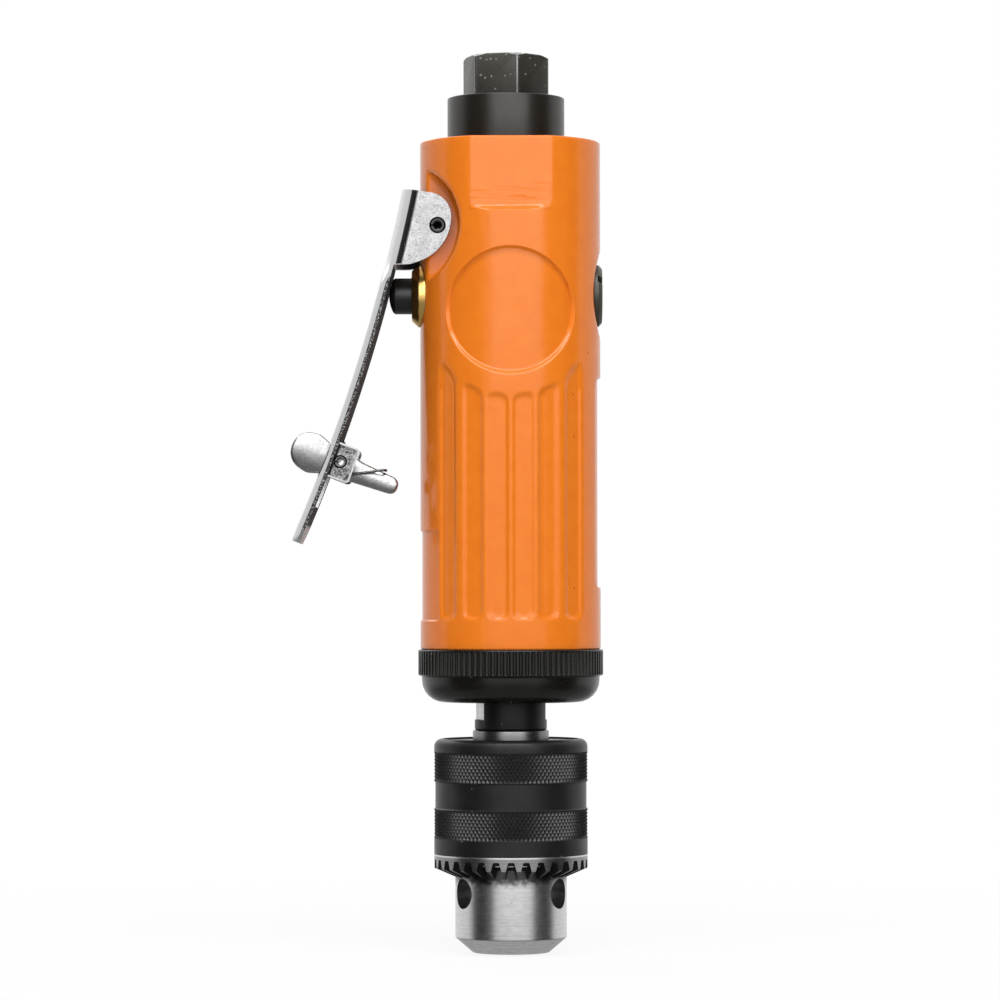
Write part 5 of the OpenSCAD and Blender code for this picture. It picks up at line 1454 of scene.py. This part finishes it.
def from_lock(point):
    """The reverse of at_lock: across and along the lever, from the lock-off's pin."""
    x = point.x - LOCK.x
    z = point.z - LOCK.y
    return x * LOCK_COS - z * LOCK_SIN, x * LOCK_SIN + z * LOCK_COS


outline = rounded([
    (13.6, 0.95, 1.7), (13.6, -2.72, 1.6), (0.5, -3.45, 2.0), (-3.1, -3.7, 3.0), (-6.6, -4.85, 2.6),
    (-11.7, -3.6, 4.0), (-11.6, 3.9, 4.0), (-6.4, 4.25, 2.2), (-3.2, 3.0, 1.2), (0.4, 3.45, 2.2),
    (4.2, 1.75, 3.0),
], closed=True, step=10)
lock = slab("lock_off_cast", at_lock(outline), -LOCK_HALF, LOCK_HALF)
lock.data.remesh_voxel_size = 0.22
bpy.ops.object.voxel_remesh()
tumble = lock.modifiers.new("tumble", "SMOOTH")
tumble.factor = 0.5
tumble.iterations = 40
bpy.ops.object.modifier_apply(modifier=tumble.name)
print("lock-off poured:", len(lock.data.polygons), "faces")

# %% Thin the lock-off from its ridge and bore it
# lobe goes from 0 on the finger to 1 on the thumb's lobe; share is 0 on the ridge and 1 or -1 at the edges
for vertex in lock.data.vertices:
    across, along = from_lock(vertex.co)
    lobe = min(1, max(0, (2 - across) / 5))
    ridge = -0.9 + 0.9 * lobe
    reach = 2.0 + 2.6 * lobe if along < ridge else 1.9 + 2.4 * lobe
    share = (along - ridge) / reach
    vertex.co.y *= 1 - (0.16 + 0.18 * lobe) * share * share
hub = lathe("hub", rounded([(0, -2.5), (3.35, -2.5), (3.35, 6.4, 0.3), (0, 6.4)]), 48)
combine(lock, along_y(hub, LOCK), "UNION")
combine(lock, along_y(rod(1.53, -ACROSS, ACROSS, 40), LOCK))
paint(lock, tumbled)
hang(lock, "lock_off", "chrome", "lock_off", crease=40)

# %% [markdown]
# ## Pins
# Both pins are rolled from strip: a tube with chamfered ends and a slit along its side. One is turned as
# a ring, slit by a thin block and laid across the tool.

# %% Roll pins
def roll_pin(name, radius, half_length, centre):
    """A hollow pin along Y with chamfered ends and a slit."""
    pin = ring_lathe(name, [
        (radius - 0.3, -half_length), (radius, -half_length + 0.5, 0.2), (radius, half_length - 0.5, 0.2),
        (radius - 0.3, half_length), (radius * 0.52, half_length, 0.15), (radius * 0.52, -half_length, 0.15),
    ], 48)
    slit = block(Matrix.Translation((-radius, 0, 0)), (2 * radius, radius * 0.22, 60))
    return along_y(combine(pin, slit), centre)


PIN_BORE_TO = 1.3
pivot_pin = roll_pin("lever_pivot_pin_rolled", 1.75, 10.3, PIVOT)
paint(pivot_pin, pin_black)
pin_middle = Vector((PIVOT[0], 0, PIVOT[1]))
# Painted shade inside the pin's bore.
paint(pivot_pin, inner_face_and_shade, lambda c, n: (c - pin_middle).xz.length < PIN_BORE_TO and abs(n.y) < 0.5)
hang(pivot_pin, "housing", "dark_pin", "lever_pivot_pin")
lock_pin = roll_pin("lock_off_pin_rolled", 1.45, 8.6, LOCK)
paint(lock_pin, wire)
hang(lock_pin, "throttle_lever", "dark_pin", "lock_off_pin")

# %% [markdown]
# ## Springs
# A spring is a curve with a round section. The lock-off's spring has a short leg on the lever, two turns
# round the pin and a long leg on the finger.

# %% Wind a spring along a path
def wound(name, path, diameter):
    """A round wire along a path, as a mesh with closed ends."""
    curve = bpy.data.curves.new(name, "CURVE")
    curve.dimensions = "3D"
    curve.bevel_depth = diameter / 2
    curve.bevel_resolution = 3
    curve.use_fill_caps = True
    line = curve.splines.new("POLY")
    line.points.add(len(path) - 1)
    for point, at in zip(line.points, path):
        point.co = (*at, 1)
    obj = bpy.data.objects.new(name, curve)
    scene.collection.objects.link(obj)
    only(obj)
    bpy.ops.object.convert(target="MESH")
    bpy.ops.object.mode_set(mode="EDIT")
    tidy_mesh()
    return obj


print("spring winder ready")

# %% Lock-off spring
def from_pin(x, y, z):
    return (LOCK.x + x, y, LOCK.y + z)


COIL_R = 3.0
COIL_Y = -6.1
COIL_STEPS = 120
COIL_PITCH = 1.05
LEG_DEGREES = 125
LEG_TURN = math.radians(LEG_DEGREES)
COIL_TURNS = 2 + (270 - LEG_DEGREES) / 360
LEG_REACH = 9.0
LEG_RISE = 1.25
HOOK_R = 0.9
HOOK_RUN = 3.2

coil_end = COIL_Y + COIL_PITCH * COIL_TURNS
leg_end = Vector(at_lock([(-0.6, 4.4)])[0]) - LOCK
start = Vector((math.cos(LEG_TURN), math.sin(LEG_TURN))) * COIL_R
path = [from_pin(p.x, COIL_Y, p.y) for p in (leg_end.lerp(start, t) for t in np.linspace(0, 0.95, 6))]
for k in range(COIL_STEPS + 1):
    a = LEG_TURN + 2 * math.pi * COIL_TURNS * k / COIL_STEPS
    y = COIL_Y + COIL_PITCH * COIL_TURNS * k / COIL_STEPS
    path.append(from_pin(COIL_R * math.cos(a), y, COIL_R * math.sin(a)))
path += [from_pin(LEG_REACH * t, coil_end, LEG_RISE * t - COIL_R) for t in np.linspace(0.08, 1, 14)]
for a in np.radians([15, 30, 45, 60, 75, 90]):
    y = coil_end + HOOK_R * (1 - math.cos(a))
    path.append(from_pin(LEG_REACH + HOOK_R * math.sin(a), y, LEG_RISE - COIL_R))
path.append(from_pin(LEG_REACH + HOOK_R, coil_end + HOOK_RUN, LEG_RISE - COIL_R))
lock_spring = wound("lock_off_spring_wound", path, 0.6)
paint(lock_spring, wire)
hang(lock_spring, None, "spring_steel", "lock_off_spring", crease=50)
bend_start, bend_end = at_lock([(-1.0, 0), (5.0, 0)])
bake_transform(lock_spring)
print("lock-off spring:", len(path), "points")

# %% Valve spring
VALVE_COIL_R = 4.2
VALVE_COILS = 3
VALVE_SEAT = -2.94
VALVE_STOP = 2.36
VALVE_WIRE = 0.7
VALVE_GAP = 0.08
VALVE_STEPS = 160

coil_start = VALVE_SEAT + VALVE_GAP + VALVE_WIRE / 2
coil_run = VALVE_STOP - VALVE_GAP - VALVE_WIRE / 2 - coil_start
path = []
for k in range(VALVE_STEPS + 1):
    a = 2 * math.pi * VALVE_COILS * k / VALVE_STEPS
    x = coil_start + coil_run * k / VALVE_STEPS
    path.append((x, VALVE_COIL_R * math.cos(a), VALVE_Z + VALVE_COIL_R * math.sin(a)))
valve_spring = wound("valve_spring_wound", path, VALVE_WIRE)
paint(valve_spring, wire)
hang(valve_spring, "housing", "spring_steel", "valve_spring", crease=50)
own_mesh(valve_spring)

# %% [markdown]
# ## Valve and regulator
# The lever presses a black button, which slides in a brass bush. Opposite, a slotted screw head turns
# the air regulator. All three are turned round X, so they are made on the lathe and laid over.

# %% Button and stem
BUTTON_END = -26.885
BUTTON_FACE = 3.6
DOME_R = 8
DOME_STEPS = 7

dome = [(0, BUTTON_END)]
for k in range(1, DOME_STEPS + 1):
    r = BUTTON_FACE * k / DOME_STEPS
    dome.append((r, BUTTON_END + DOME_R - math.sqrt(DOME_R ** 2 - r * r)))
stem = lathe("valve_stem_turned", dome + rounded([
    dome[-1], (4.0, -25.55, 0.25), (4.0, -14.9, 0.2), (2.0, -14.9), (2.0, -4.76), (4.5, -4.76, 0.2),
    (4.5, -3.06, 0.2), (0, -3.06),
])[1:], 72)
paint(along_x(stem, VALVE_Z), plastic)
hang(stem, "valve", "black_plastic", "valve_stem")

# %% Brass bush
bush = ring_lathe("valve_bush_turned", [
    (4.1, -21.86, 0.5), (5.6, -21.86, 0.6), (7.0, -20.3, 0.9), (7.0, -18.66, 0.15), (5.25, -18.66),
    (5.25, -10.56, 0.3), (3.3, -10.56), (3.3, -11.76), (2.08, -11.76), (2.08, -13.1), (4.1, -13.1),
], 96)
paint(along_x(bush, VALVE_Z), brass)
hang(bush, "housing", "brass", "valve_bush")

# %% Slotted regulator
HEAD_END = 20.4
HEAD_SLOT = (2.2, 30, 1.6)
HEAD_SLOT_TURN = math.radians(30)

regulator = lathe("regulator_turned", rounded([
    (0, HEAD_END), (6.0, HEAD_END, 0.5), (6.9, 19.6, 0.4), (6.9, 18.4, 0.2), (4.0, 18.4), (4.0, 16.1),
    (4.95, 16.1, 0.1), (4.95, 2.44, 0.2), (3.8, 2.44), (3.8, 9.9), (0, 9.9),
]), 96)
along_x(regulator, VALVE_Z)
slot_place = Matrix.Translation((HEAD_END, 0, VALVE_Z)) @ Matrix.Rotation(-HEAD_SLOT_TURN, 4, "X")
combine(regulator, block(slot_place, HEAD_SLOT))
paint(regulator, regulator_black)
hang(regulator, "regulator", "black_oxide", "regulator")
